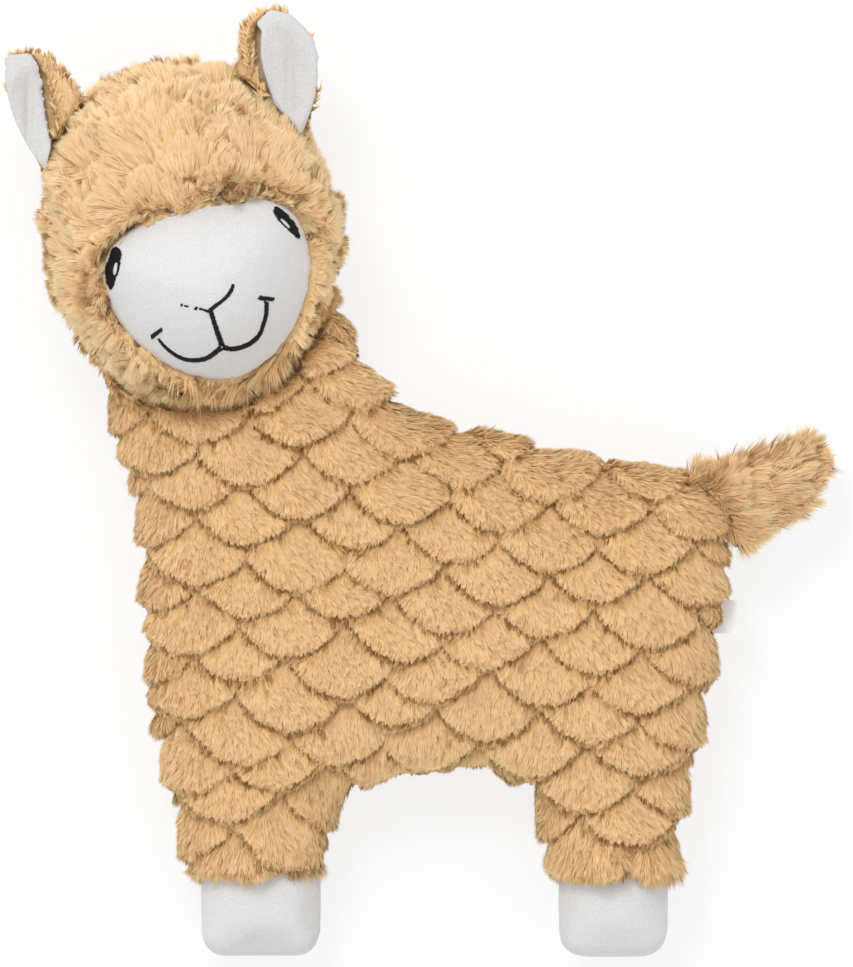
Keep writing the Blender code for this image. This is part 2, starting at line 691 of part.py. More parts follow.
def build_ears(head_shape):
    """Each ear: a plush back that folds round one side, and a white lining let into it."""
    ears = (("ear_left", EAR_LEFT_EDGE, EAR_LEFT_LINING), ("ear_right", EAR_RIGHT_EDGE, EAR_RIGHT_LINING))
    for name, edge, lining_edge in ears:
        outline = smooth_curve(edge, EAR_STEP, closed=True)
        sewn = [closed(outline)]
        plan = Plan(outline, sewn, fill_points(outline, sewn, (SEAM_RING,), EAR_GRID))
        depth = plan.edge_distance()
        top = EAR_Z + SEAM_LIP + rolled(depth, EAR_FRONT, EAR_ROLL)
        bottom = EAR_Z - SEAM_LIP - rolled(depth, EAR_BACK, EAR_ROLL)
        back = place_on_head(plan.solid(f"{name}_back", top, bottom))
        rim = smooth_curve(lining_edge, EAR_STEP, closed=True)
        inner = Plan(rim, [closed(rim)], fill_points(rim, [closed(rim)], (SEAM_RING,), EAR_GRID))
        swell = rolled(inner.edge_distance(), 0.3 * EAR_FRONT, EAR_ROLL)
        lining = place_on_head(inner.solid(f"{name}_lining", EAR_Z + GAP + LINING + swell, EAR_Z + GAP))
        seat = as_cutter(place_on_head(inner.solid("ear_seat", 3 * EAR_Z, EAR_Z, GAP)))
        cut(back, seat, head_shape)
        cut(lining, head_shape)
        finish(back, PALE_FUR, FUR_ROUGH)
        finish(lining, WHITE_CLOTH, CLOTH_ROUGH)


def build_tail(body_shape):
    """The tail's plush top and white underside, which meet the rump along the body's own surface."""
    outline = smooth_curve(TAIL_EDGE, OUTLINE_STEP)
    plan = Plan(outline, [outline], fill_points(outline, [outline], (SEAM_RING,), TAIL_GRID))
    depth = plan.edge_distance()
    upper = SEAM_Z + 0.5 * GAP + SEAM_LIP + rolled(depth, TAIL_TOP_DEPTH, TAIL_ROLL)
    lower = SEAM_Z - 0.5 * GAP - SEAM_LIP - rolled(depth, TAIL_UNDER_DEPTH, TAIL_ROLL)
    top = plan.solid("tail_top_panel", upper, SEAM_Z + 0.5 * GAP)
    under = plan.solid("tail_under_panel", SEAM_Z - 0.5 * GAP, lower)
    cut(top, body_shape)
    cut(under, body_shape)
    finish(top, PALE_FUR, FUR_ROUGH)
    finish(under, WHITE_CLOTH, CLOTH_ROUGH)


def foot_outline(left, right, top, bottom, corner):
    """A pillow's plan: straight sides, round lower corners and an open top."""
    outline = [(left, top)]
    for centre, start in ((left + corner, math.pi), (right - corner, 1.5 * math.pi)):
        for k in range(CORNER_STEPS + 1):
            angle = start + 0.5 * math.pi * k / CORNER_STEPS
            outline.append((centre + corner * math.cos(angle), bottom + corner + corner * math.sin(angle)))
    outline.append((right, top))
    return outline


def build_foot(name, left, right, top):
    """A foot: two white panels and their stuffing, open towards the leg."""
    left, right = left + FOOT_INSET, right - FOOT_INSET
    bottom = top - FOOT_LENGTH
    outer = foot_outline(left, right, top - GAP, bottom, FOOT_CORNER)
    sewn = [extended(outer, FOOT_LENGTH)]
    outer += straight(outer[-1], outer[0], OUTLINE_STEP)
    plan = Plan(outer, sewn, fill_points(outer, sewn, (SEAM_RING,), FOOT_GRID))
    depth = plan.edge_distance()
    near = SEAM_Z + 0.5 * GAP + SEAM_LIP + rolled(depth, FOOT_DEPTH, FOOT_ROLL)
    far = SEAM_Z - 0.5 * GAP - SEAM_LIP - rolled(depth, FOOT_DEPTH, FOOT_ROLL)
    panels = [plan.solid(f"{name}_near_panel", near, SEAM_Z + 0.5 * GAP),
              plan.solid(f"{name}_far_panel", SEAM_Z - 0.5 * GAP, far)]

    cloth = FOOT_CLOTH
    inner = foot_outline(left + cloth, right - cloth, top + FOOT_LENGTH, bottom + cloth, FOOT_CORNER - cloth)
    sewn = [extended(inner, FOOT_LENGTH)]
    hollow = Plan(inner, sewn, fill_points(inner, sewn, (SEAM_RING,), FOOT_GRID))
    inward = rolled(hollow.edge_distance(), FOOT_DEPTH - cloth, FOOT_ROLL - cloth)
    space = as_cutter(hollow.solid("foot_hollow", SEAM_Z + inward + GAP, SEAM_Z - inward - GAP, GAP))
    above, below = SEAM_Z + inward + HOLLOW_LIP, SEAM_Z - inward - HOLLOW_LIP
    filling = hollow.solid(f"{name}_filling", above, below, -GAP)
    leg = block("leg_space", (left, top - GAP, -SEAM_Z), (right, top + 3 * FOOT_LENGTH, 3 * SEAM_Z))
    cut(filling, as_cutter(leg))
    for panel in panels:
        cut(panel, space)
        finish(panel, WHITE_CLOTH, CLOTH_ROUGH)
    finish(filling, STUFFING, STUFFING_ROUGH)


def build_label(panels):
    """The bare label, sewn into the rump's seam."""
    edge = smooth_curve(BACK_EDGE, OUTLINE_STEP)
    nearest = min(edge[: len(edge) // 2], key=lambda p: abs(p[1] - LABEL_Y))
    low = (nearest[0] - LABEL_ROOT, LABEL_Y - 0.5 * LABEL_WIDTH, SEAM_Z - 0.5 * LABEL_THICKNESS)
    high = (nearest[0] + LABEL_SHOWS, LABEL_Y + 0.5 * LABEL_WIDTH, SEAM_Z + 0.5 * LABEL_THICKNESS)
    label = block("side_label", low, high)
    slot = as_cutter(block("label_slot", [c - GAP for c in low], [c + GAP for c in high]))
    for panel in panels:
        cut(panel, slot)
    finish(label, WHITE_CLOTH, LABEL_ROUGH)


def centre():
    """Put the origin on the floor, under the middle of the whole toy."""
    bpy.context.view_layer.update()
    pieces = [piece for piece in bpy.data.objects if not piece.hide_render]
    corners = np.array([piece.matrix_world @ corner.co for piece in pieces for corner in piece.data.vertices])
    middle = 0.5 * (corners.min(axis=0) + corners.max(axis=0))
    for piece in pieces:
        piece.location.x -= middle[0]
        piece.location.y -= middle[1]
    print(f"centred by {middle[0] * 1000:.2f} {middle[1] * 1000:.2f} mm")


def main():
    for old in list(bpy.data.objects):
        bpy.data.objects.remove(old, do_unlink=True)
    head_shape, neck_space = build_head()
    build_embroidery()
    build_ears(head_shape)
    near_panel, far_panel, body_shape = build_body(head_shape, neck_space)
    build_tail(body_shape)
    fur_end = CHEST_EDGE[-1][1]
    build_foot("foot_front", CHEST_EDGE[-1][0], BELLY_EDGE[0][0], fur_end)
    build_foot("foot_rear", BELLY_EDGE[-1][0], BACK_EDGE[0][0], fur_end)
    build_label((near_panel, far_panel))
    centre()


main()
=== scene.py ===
# %% [markdown]
# A plush llama, dressed in Blender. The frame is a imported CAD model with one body, so every piece below
# rides on "root". The toy lies on its far side and the camera looks straight down on it, as the photograph
# does. The CAD gives the stuffed shapes, and this script gives what the hand and the eye notice first: the
# pile of the plush, the white velboa of the face, ears and feet, and the thread of the embroidery.

# %% The frame and its box
import bpy
import math
import numpy as np
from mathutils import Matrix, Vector
from mathutils.bvhtree import BVHTree
from mathutils.kdtree import KDTree
from types import SimpleNamespace


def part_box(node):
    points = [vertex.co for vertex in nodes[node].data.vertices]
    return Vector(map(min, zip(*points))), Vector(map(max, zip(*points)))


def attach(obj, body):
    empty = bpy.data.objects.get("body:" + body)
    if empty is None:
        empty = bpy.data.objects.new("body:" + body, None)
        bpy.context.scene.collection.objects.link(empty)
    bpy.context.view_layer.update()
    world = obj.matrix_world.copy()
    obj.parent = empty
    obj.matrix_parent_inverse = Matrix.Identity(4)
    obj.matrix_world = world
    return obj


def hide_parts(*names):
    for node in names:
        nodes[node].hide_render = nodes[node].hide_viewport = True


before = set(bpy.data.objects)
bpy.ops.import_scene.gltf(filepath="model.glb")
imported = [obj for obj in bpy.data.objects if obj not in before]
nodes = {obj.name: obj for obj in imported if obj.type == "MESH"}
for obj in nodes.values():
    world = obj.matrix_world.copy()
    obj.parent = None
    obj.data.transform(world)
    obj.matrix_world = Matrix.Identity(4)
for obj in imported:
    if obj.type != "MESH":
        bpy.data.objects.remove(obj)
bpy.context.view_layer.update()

# %% [markdown]
# Where things are in the photograph. One pixel is 0.3376 mm on the real toy, and the middle of the
# photograph looks at a point beside the middle of the box. A long lens far away keeps the near parts from
# growing, as in a catalogue picture of a flat toy.

# %% The camera
PIXEL = 0.0003376
AIM = Vector((0.00249, -0.00006, 0.040))
CAMERA_AWAY = 12.0
SENSOR_TALL = 24.0
FRAME_TALL = 967 * PIXEL


def select_only(*pieces):
    """An operator acts on all that is selected, so everything else is let go first."""
    bpy.ops.object.select_all(action="DESELECT")
    for piece in pieces:
        piece.hide_viewport = False
        piece.select_set(True)
    bpy.context.view_layer.objects.active = pieces[0]


bpy.ops.object.select_all(action="DESELECT")
bpy.ops.object.camera_add(location=AIM + Vector((0, 0, CAMERA_AWAY)), rotation=(0, 0, 0))
camera = bpy.context.object
camera.name = "catalogue_camera"
camera.data.sensor_fit = "VERTICAL"
camera.data.sensor_height = SENSOR_TALL
camera.data.lens = SENSOR_TALL * CAMERA_AWAY / FRAME_TALL
camera.data.clip_end = 60.0
bpy.context.scene.camera = camera
print("lens:", round(camera.data.lens, 1), "mm")

# %% [markdown]
# The studio. The photograph's light is wide and even, and the pile is drawn by the shade between its locks
# more than by cast shadows. So a strong even world does most of the work, and one wide soft lamp above the
# crown, a little to the left, gives each lip of the coat its lit side. The world and the floor show white
# to the camera and in reflections, while the floor still takes the toy's shadow.

# %% Shader helpers


def node_tree(owner):
    """The empty node tree of a material or a world."""
    owner.use_nodes = True
    owner.node_tree.nodes.clear()
    return owner.node_tree


def add(tree, kind, **values):
    """One shader node, with its settings and sockets given by name."""
    node = tree.nodes.new(kind)
    for key, value in values.items():
        if hasattr(node, key):
            setattr(node, key, value)
        else:
            node.inputs[key.replace("_", " ")].default_value = value
    return node


def white_to_camera(tree):
    """1 for rays that come from the camera, a mirror or glass, and 0 for the light that falls on things."""
    path = add(tree, "ShaderNodeLightPath")
    seen = path.outputs["Is Camera Ray"]
    for ray in ("Is Glossy Ray", "Is Transmission Ray"):
        either = add(tree, "ShaderNodeMath", operation="MAXIMUM")
        tree.links.new(seen, either.inputs[0])
        tree.links.new(path.outputs[ray], either.inputs[1])
        seen = either.outputs[0]
    return seen


def blend_out(tree, share, under, over, output):
    """Sends a mix of two shaders to the tree's output."""
    mix = add(tree, "ShaderNodeMixShader")
    for socket, source in enumerate((share, under.outputs[0], over.outputs[0])):
        tree.links.new(source, mix.inputs[socket])
    tree.links.new(mix.outputs[0], add(tree, output).inputs[0])


# %% Lights, world and floor
KEY_POWER = 25.0
KEY_WIDE = 0.80
KEY_PLACE = Vector((-0.55, 1.25, 2.20))
FILL_LEVEL = 0.84
FLOOR_GLOW = 0.80
FLOOR_WIDE, FLOOR_LOW = 6.0, -0.0006
WHITE = (1, 1, 1, 1)
PAPER = (0.93, 0.93, 0.93, 1)

bpy.ops.object.select_all(action="DESELECT")
bpy.ops.object.light_add(type="AREA", location=KEY_PLACE)
key = bpy.context.object
key.name = "key_softbox"
key.data.energy = KEY_POWER
key.data.shape = "DISK"
key.data.size = KEY_WIDE
key.rotation_euler = (AIM - KEY_PLACE).to_track_quat("-Z", "Y").to_euler()

world = bpy.data.worlds.new("studio")
bpy.context.scene.world = world
tree = node_tree(world)
fill = add(tree, "ShaderNodeBackground", Color=WHITE, Strength=FILL_LEVEL)
plain = add(tree, "ShaderNodeBackground", Color=WHITE, Strength=1.0)
blend_out(tree, white_to_camera(tree), fill, plain, "ShaderNodeOutputWorld")

bpy.ops.object.select_all(action="DESELECT")
bpy.ops.mesh.primitive_plane_add(size=FLOOR_WIDE, location=(0, 0, FLOOR_LOW))
floor = bpy.context.object
floor.name = "studio_floor"
paper = bpy.data.materials.new("white_paper")
tree = node_tree(paper)
matte = add(tree, "ShaderNodeBsdfDiffuse", Color=PAPER)
glow = add(tree, "ShaderNodeEmission", Color=WHITE, Strength=1.0)
share = add(tree, "ShaderNodeMath", operation="MULTIPLY")
share.inputs[1].default_value = FLOOR_GLOW
tree.links.new(white_to_camera(tree), share.inputs[0])
blend_out(tree, share.outputs[0], matte, glow, "ShaderNodeOutputMaterial")
floor.data.materials.append(paper)
bpy.context.scene.view_settings.view_transform = "Standard"
print("light:", KEY_POWER, "W from", tuple(round(v, 2) for v in KEY_PLACE), "and a world of", FILL_LEVEL)

# %% [markdown]
# Plush is a knitted backing with pile standing in it. Along a fibre the colour goes from a brown root to a
# pale tip, the brown being painted shade for the little light that gets in there, and no two tufts are quite
# the same. Each blade of pile below carries its own small UV: across it is how light its tuft is, a random
# tone plus the coat's painted light and shade, and up it is how far along the fibre a point lies.
# Two colour ramps read that UV, so the finish is the same from every side.

# %% The finish of the pile
TUFT_UV = "OFBake"
# Across a blade: the low end gives the painted shade of crevices and the chin, the middle the random tone of
# tufts, and the top painted light.
TUFT_TONES_AND_PAINTED_LIGHT = [
    (0.0, (0.34, 0.22, 0.10)), (0.38, (0.81, 0.73, 0.61)), (0.65, (0.97, 0.955, 0.93)), (1.0, (1, 1, 1))]
# Along a blade, root to tip: the dark root is painted shade, and the rest is the pile's own colour.
SAND_FIBRE_AND_ROOT_SHADE = [(0.0, (0.50, 0.295, 0.110)), (0.24, (0.89, 0.580, 0.258)), (1.0, (1.0, 0.772, 0.440))]
CURLY_FIBRE_AND_ROOT_SHADE = [(0.0, (0.48, 0.285, 0.110)), (0.26, (0.88, 0.60, 0.290)), (1.0, (1.0, 0.785, 0.485))]
SPECULAR = 0.2


def ramp(tree, source, stops):
    """A colour ramp on a number, with stops as (place, colour)."""
    node = add(tree, "ShaderNodeValToRGB")
    node.color_ramp.interpolation = "EASE"
    while len(node.color_ramp.elements) < len(stops):
        node.color_ramp.elements.new(0.5)
    for element, (place, colour) in zip(node.color_ramp.elements, stops):
        element.position = place
        element.color = (*colour, 1)
    tree.links.new(source, node.inputs[0])
    return node.outputs[0]


def times(tree, a, b):
    """One colour multiplied by another."""
    node = add(tree, "ShaderNodeMix", data_type="RGBA", blend_type="MULTIPLY")
    node.inputs[0].default_value = 1.0
    tree.links.new(a, node.inputs[6])
    tree.links.new(b, node.inputs[7])
    return node.outputs[2]


def pile_finish(name, fibre_and_root_shade, sheen_tint):
    """The plush pile: a colour along each blade, with painted shade at its root, a tone that differs between
    tufts with painted light and shade added to it, and a soft sheen.
    """
    material = bpy.data.materials.new(name)
    tree = node_tree(material)
    uv = add(tree, "ShaderNodeUVMap", uv_map=TUFT_UV)
    parts = add(tree, "ShaderNodeSeparateXYZ")
    tree.links.new(uv.outputs[0], parts.inputs[0])
    colour = times(tree, ramp(tree, parts.outputs[1], fibre_and_root_shade), ramp(tree, parts.outputs[0], TUFT_TONES_AND_PAINTED_LIGHT))
    shader = add(
        tree, "ShaderNodeBsdfPrincipled", Roughness=0.82, Specular_IOR_Level=SPECULAR, Sheen_Weight=0.30,
        Sheen_Roughness=0.45, Sheen_Tint=(*sheen_tint, 1))
    tree.links.new(colour, shader.inputs["Base Color"])
    tree.links.new(shader.outputs[0], add(tree, "ShaderNodeOutputMaterial").inputs[0])
    return material


sand_pile = pile_finish("sand_pile", SAND_FIBRE_AND_ROOT_SHADE, (1.0, 0.90, 0.74))
curly_pile = pile_finish("curly_pile", CURLY_FIBRE_AND_ROOT_SHADE, (1.0, 0.91, 0.77))
print("pile:", sand_pile.name, "and", curly_pile.name)

# %% [markdown]
# Under the pile is the knitted backing, seen only where the pile parts. It is dyed like the pile and a
# little deeper as painted shade, so a parting doesn't show as a hole. The white cloth of the face, ears and
# feet is velboa: a pile so short that it reads as a smooth nap with a fine grain, which a noise bump gives at
# the right scale. The ears' lining is a greyer copy, painted shade for the hollow of the cupped ear. The
# stuffing, the label's tape and the black thread are made the same way, and the tape is whiter than the
# velboa, painted light for the shade of the body that it lies in. All read Object coordinates, in metres.

# %% Cloth finishes


def cloth_finish(name, dark, light, scale, depth, roughness, sheen=0.0, specular=SPECULAR, low=0.35):
    """A matt cloth. One noise bumps it by depth in metres and moves its colour between two tones."""
    material = bpy.data.materials.new(name)
    tree = node_tree(material)
    cloth = add(tree, "ShaderNodeBsdfPrincipled", Roughness=roughness, Specular_IOR_Level=specular,
                Sheen_Weight=sheen, Sheen_Roughness=0.4)
    where = add(tree, "ShaderNodeTexCoord")
    noise = add(tree, "ShaderNodeTexNoise", Scale=scale, Detail=4.0, Roughness=0.6)
    bump = add(tree, "ShaderNodeBump", Distance=depth, Strength=1.0)
    tree.links.new(where.outputs["Object"], noise.inputs["Vector"])
    tree.links.new(noise.outputs["Fac"], bump.inputs["Height"])
    tree.links.new(bump.outputs[0], cloth.inputs["Normal"])
    colour = ramp(tree, noise.outputs["Fac"], [(low, dark), (1 - low, light)])
    tree.links.new(colour, cloth.inputs["Base Color"])
    tree.links.new(cloth.outputs[0], add(tree, "ShaderNodeOutputMaterial").inputs[0])
    return material


GREY, PALE, NEAR_WHITE, INK = (0.62,) * 3, (0.73,) * 3, (0.82,) * 3, (0.004, 0.004, 0.0045)
# The backing is dyed like the pile, and a little deeper as painted shade: the pile's colour in shade.
backing_knit = cloth_finish("backing_knit", (0.70, 0.46, 0.225), (0.86, 0.61, 0.33), 900.0, 0.0004, 0.9)
white_velboa = cloth_finish("white_velboa", (0.66, 0.66, 0.662), PALE, 1500.0, 0.00012, 0.8, 0.12)
# The ears' lining is the same white velboa made greyer: painted shade for the hollow of the cupped ear.
ear_lining_painted_shade = cloth_finish(
    "white_ear_lining_painted_shade", (0.60, 0.595, 0.59), (0.68, 0.675, 0.67), 1500.0, 0.00014, 0.85, 0.1)
stuffing_fibre = cloth_finish("polyester_filling", GREY, NEAR_WHITE, 300.0, 0.0015, 0.9)
# The label's tape is whiter than the velboa: painted light, for the shade of the body that it lies in.
white_tape = cloth_finish("white_label_tape", (0.90, 0.90, 0.92), (0.95, 0.95, 0.97), 2200.0, 0.00006, 0.55)
black_thread = cloth_finish(
    "black_satin_thread", INK, (0.014, 0.013, 0.015), 2500.0, 0.00005, 0.5, specular=0.18, low=0.3)
print("materials:", len(bpy.data.materials))

# %% [markdown]
# Every stuffed skin starts from its CAD panels. Their copies are joined, closed over with a voxel remesh,
# which melts the seams into one soft surface, and smoothed. The pile then takes up the last few
# millimetres, so the skin is pushed in along its normals by as much as the pile stands up.

# %% Numbers and meshes
FLOOR_CLEAR = 0.0004
MERGED = 0.00001


def between(numbers):
    """Numbers kept between 0 and 1."""
    return np.clip(numbers, 0, 1)


def bell(numbers):
    """1 at 0, falling off to both sides."""
    return np.exp(-numbers ** 2)


def read_vectors(elements, key):
    flat = np.empty(len(elements) * 3, np.float32)
    elements.foreach_get(key, flat)
    return flat.reshape(-1, 3).astype(np.float64)


def read_skin(piece):
    """A piece's points and its normals at them."""
    return read_vectors(piece.data.vertices, "co"), read_vectors(piece.data.vertex_normals, "vector")


def write_points(piece, points, above_floor=False):
    if above_floor:
        points[:, 2] = np.maximum(points[:, 2], FLOOR_CLEAR)
    piece.data.vertices.foreach_set("co", points.astype(np.float32).ravel())
    piece.data.update()


def edit_all(piece, operator, **settings):
    """Runs one mesh operator on the whole piece."""
    select_only(piece)
    bpy.ops.object.mode_set(mode="EDIT")
    bpy.ops.mesh.select_all(action="SELECT")
    operator(**settings)
    bpy.ops.object.mode_set(mode="OBJECT")


def apply_modifier(piece, kind, **settings):
    select_only(piece)
    modifier = piece.modifiers.new(kind.lower(), kind)
    for key, value in settings.items():
        setattr(modifier, key, value)
    bpy.ops.object.modifier_apply(modifier=modifier.name)


# %% Skins from the CAD panels


def copy_of(name, from_nodes):
    """One new piece from copies of CAD nodes, joined, with their doubles merged."""
    copies = []
    for node in from_nodes:
        piece = bpy.data.objects.new(name, nodes[node].data.copy())
        piece.data.materials.clear()
        bpy.context.scene.collection.objects.link(piece)
        copies.append(piece)
    select_only(*copies)
    if len(copies) > 1:
        bpy.ops.object.join()
    piece = bpy.context.view_layer.objects.active
    piece.name = name
    edit_all(piece, bpy.ops.mesh.remove_doubles, threshold=MERGED)
    return piece


def keep_biggest(piece):
    """Leaves only the island with the widest box, so nothing stays inside the skin."""
    edit_all(piece, bpy.ops.mesh.separate, type="LOOSE")
    name = piece.name
    parts = set(bpy.context.selected_objects) | {piece}
    piece.data = max(parts, key=lambda part: part.dimensions.length).data
    for part in parts - {piece}:
        bpy.data.objects.remove(part)
    piece.name = name
    return len(parts)


def soft_skin(name, from_nodes, voxel, smooth, inward):
    """The skin of some CAD nodes as one soft surface, pushed in by as much as its pile will stand up."""
    piece = copy_of(name, from_nodes)
    apply_modifier(piece, "REMESH", mode="VOXEL", voxel_size=voxel, use_smooth_shade=True)
    islands = keep_biggest(piece)
    apply_modifier(piece, "SMOOTH", factor=0.5, iterations=smooth)
    points, normals = read_skin(piece)
    write_points(piece, points - normals * inward, above_floor=True)
    piece.data.shade_smooth()
    print(name, "faces:", len(piece.data.polygons), "islands:", islands)
    return piece


def dress(piece, material, replaced=()):
    """Gives a finished piece its material, hides the CAD nodes that it replaces, and lets it ride on the toy.
    """
    piece.data.materials.clear()
    piece.data.materials.append(material)
    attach(piece, "root")
    if replaced:
        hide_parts(*replaced)


BODY_PANELS = ["body_near_panel", "body_far_panel"]
HEAD_PANELS = ["head_front_panel", "head_back_panel"]
body_skin = soft_skin("body_plush_backing", [*BODY_PANELS, "body_filling"], 0.0016, 30, 0.0034)
head_skin = soft_skin("head_plush_backing", [*HEAD_PANELS, "head_filling", "face_panel"], 0.0014, 14, 0.0054)
dress(body_skin, backing_knit, BODY_PANELS)
dress(head_skin, backing_knit, HEAD_PANELS)

# %% [markdown]
# The body's plush is embossed with rows of scales, like roof tiles. A scale is a rounded tongue 33.8 mm
# wide, and rows follow each other every 11.7 mm, each shifted by half a scale. The CAD relief has that
# lattice, and the same numbers say here which scale a point belongs to and how far it is from that scale's
# lip. No two scales of a real coat hang alike, so each is moved, tilted and raised a little by numbers of
# its own.

# %% The lattice of scales
SCALE_PITCH = 0.0338
SCALE_ROW = 0.0117
SCALE_TURN = math.radians(-3.0)
SCALE_ORIGIN = np.array((-0.09037, 0.01520))
SCALE_CURVE = 2.0
SCALE_LIP = 0.13
SCALE_FALL = 1.7
SCALE_RELIEF = 0.0050
SCALE_MOVED, SCALE_DROPPED, SCALE_TILTED, SCALE_RAISED = 0.022, 0.12, 0.30, 0.14
LIP_DROP, LIP_ROUND = 0.62, 0.0020
NO_SCALE = -1000
OWN = 64
DOWN = np.array((math.sin(SCALE_TURN), -math.cos(SCALE_TURN), 0.0))
ACROSS = np.array((math.cos(SCALE_TURN), math.sin(SCALE_TURN), 0.0))
own = np.random.default_rng(5).normal(0, 1, (6, OWN, OWN)).clip(-2, 2)


def scale_of(points):
    """For each point: the scale that covers it as (row, column), its place across it, metres to the scale's
    lip, its height, and metres from the lip of the scale above."""
    away = points[:, :2] - SCALE_ORIGIN
    column = (away @ ACROSS[:2]) / SCALE_PITCH
    depth = (away @ DOWN[:2]) / SCALE_ROW
    count = len(points)
    owner, middle = np.full(count, NO_SCALE), np.zeros(count, int)
    side, left, above = np.zeros(count), np.full(count, 0.5), depth - 1.0
    for step in range(-1, 4):
        row = np.ceil(depth).astype(int) + step
        shift = np.where(row % 2 == 1, 0.0, 0.5)
        place = np.round(column - shift).astype(int)
        moved, dropped, tilted = (own[k][row % OWN, place % OWN] for k in range(3))
        across = np.clip(column - shift - place - SCALE_MOVED * moved, -0.5, 0.5)
        wave = np.sin(across * (17 + 2 * dropped) + 3 * tilted) * 0.028
        wave = wave + np.sin(across * 41 + 5 * moved) * 0.016
        edge = row - np.abs(2 * across) ** SCALE_CURVE * (1 - SCALE_LIP)
        edge = edge + SCALE_DROPPED * dropped + SCALE_TILTED * tilted * across + wave
        mine = (owner == NO_SCALE) & (depth <= edge)
        owner[mine], middle[mine], side[mine] = row[mine], place[mine], across[mine]
        left[mine] = (edge - depth)[mine]
        passed = owner == NO_SCALE
        above[passed] = np.maximum(above, edge)[passed]
    swell = np.sqrt(between(1 - np.abs(2 * side) ** 3))
    raised = 1 + SCALE_RAISED * own[3][owner % OWN, middle % OWN]
    rounded = LIP_DROP + (1 - LIP_DROP) * between(left * SCALE_ROW / LIP_ROUND)
    height = swell * between(1 - left / SCALE_FALL) * raised * rounded * SCALE_RELIEF
    return owner, middle, side, left * SCALE_ROW, height, (depth - above) * SCALE_ROW


# %% Scales on the body's skin
EDGE_TRIM = 0.0016
TURNED = 0.75
LABEL_SEAM, LABEL_REACH, LABEL_DENT = (0.105, -0.045), 0.0075, 0.0012


def flat_outward(normals):
    """The part of each normal in the page, and how far the skin has turned away from the viewer."""
    return normals * np.array((1, 1, 0)), between(1.0 - np.abs(normals[:, 2]) / TURNED)


points, normals = read_skin(body_skin)
height = scale_of(points)[4]
outward, edge = flat_outward(normals)
seam_pull = np.exp(-((points[:, :2] - LABEL_SEAM) ** 2).sum(axis=1) / LABEL_REACH ** 2)[:, None]
points = points + normals * height[:, None] - outward * edge[:, None] * EDGE_TRIM
points -= seam_pull * np.array((LABEL_DENT, 0, 0))
write_points(body_skin, points, above_floor=True)
print("scales stand up to", round(float(height.max()) * 1000, 1), "mm")

# %% [markdown]
# One blade of pile is one long triangle, from a root as wide as a few fibres to their tip. Some 636,000 of
# them keep the whole toy under a million triangles. Roots are thrown on the skin evenly by area.
# Neighbouring blades lean to the same tip, because fibres of plush clump, and the clumps give lips and
# outlines their serrated edge. Everything is seeded, so each run makes the same llama.

# %% Roots, directions and clumps


def throw_roots(skin, count, seed, weight=None):
    """Random points on a skin by area, with the skin's normal at each."""
    mesh = skin.data
    mesh.calc_loop_triangles()
    triangles = np.empty(len(mesh.loop_triangles) * 3, np.int32)
    mesh.loop_triangles.foreach_get("vertices", triangles)
    triangles = triangles.reshape(-1, 3)
    points, normals = read_skin(skin)
    a, b, c = (points[triangles[:, i]] for i in range(3))
    area = np.linalg.norm(np.cross(b - a, c - a), axis=1) / 2
    if weight is not None:
        area = area * weight((a + b + c) / 3, normals[triangles].mean(axis=1))
    rng = np.random.default_rng(seed)
    total = np.cumsum(area)
    chosen = np.searchsorted(total, rng.random(count) * total[-1])
    u, v = rng.random(count), rng.random(count)
    over = u + v > 1
    u[over], v[over] = 1 - u[over], 1 - v[over]
    w = np.stack([1 - u - v, u, v], axis=1)[:, :, None]
    corner = triangles[np.minimum(chosen, len(triangles) - 1)]
    normal = (normals[corner] * w).sum(axis=1)
    return (points[corner] * w).sum(axis=1), normal / np.linalg.norm(normal, axis=1, keepdims=True)


def unit(vectors):
    return vectors / np.maximum(np.linalg.norm(vectors, axis=1, keepdims=True), 1e-9)


def along_skin(direction, normals):
    """A direction laid into the skin's tangent plane."""
    flat = direction - (direction * normals).sum(axis=1, keepdims=True) * normals
    return unit(flat)


def turned_in_skin(lay, normals, angle):
    """Directions in the skin, turned about its normals."""
    return unit(lay * np.cos(angle)[:, None] + np.cross(lay, normals) * np.sin(angle)[:, None])


def clump_of(places, spacing, seed):
    """The index of the nearest clump centre for each place, and which place is that centre."""
    rng = np.random.default_rng(seed)
    low = places.min(axis=0)
    cells = np.unique(np.floor((places - low) / spacing).astype(int), axis=0, return_index=True)[1]
    centres = rng.permutation(cells)
    tree = KDTree(len(centres))
    for index, place in enumerate(places[centres]):
        tree.insert(place, index)
    tree.balance()
    nearest = np.array([tree.find(place)[1] for place in places])
    return nearest, centres


# %% [markdown]
# A coat is a set of arrays with one value per blade: its root, the skin's normal there, the direction of
# the nap (lay), its length, the angle that it stands off the skin (lift), its width, its clump, how far it
# is pulled to the clump's tip, and its painted shading, which makes it darker as painted shade or lighter
# as painted light. Only centres is shorter: it names each clump's middle blade.

# %% Blades of pile
BLADE_FULLNESS = 1.25
BLADE_WANDER, BLADE_ROLL = 0.16, 0.4
BLADE_SINK, BLADE_RISE = 0.0003, 0.94
SHADE, SHADE_OF_BLADE, SHADE_OF_CLUMP = 0.78, 0.09, 0.18


def blade_corners(coat, rng):
    """Two root corners and a tip for each blade."""
    count = len(coat.roots)
    lay = unit(coat.lay + np.cross(coat.lay, coat.normals) * rng.normal(0, BLADE_WANDER, (count, 1)))
    side = unit(np.cross(lay, coat.normals))
    out, up = (wave(coat.lift)[:, None] * coat.length[:, None] for wave in (np.cos, np.sin))
    root = coat.roots - coat.normals * BLADE_SINK
    tip = coat.roots + lay * out + coat.normals * up * BLADE_RISE
    share = rng.uniform(0.55, 1.0, (count, 1)) * coat.pull[:, None]
    tip = tip + (tip[coat.centres][coat.clump] - tip) * share
    roll = rng.uniform(-BLADE_ROLL, BLADE_ROLL, (count, 1))
    across = unit(side * np.cos(roll) + coat.normals * np.sin(roll))
    return root, across * (coat.width[:, None] / 2 * BLADE_FULLNESS), tip


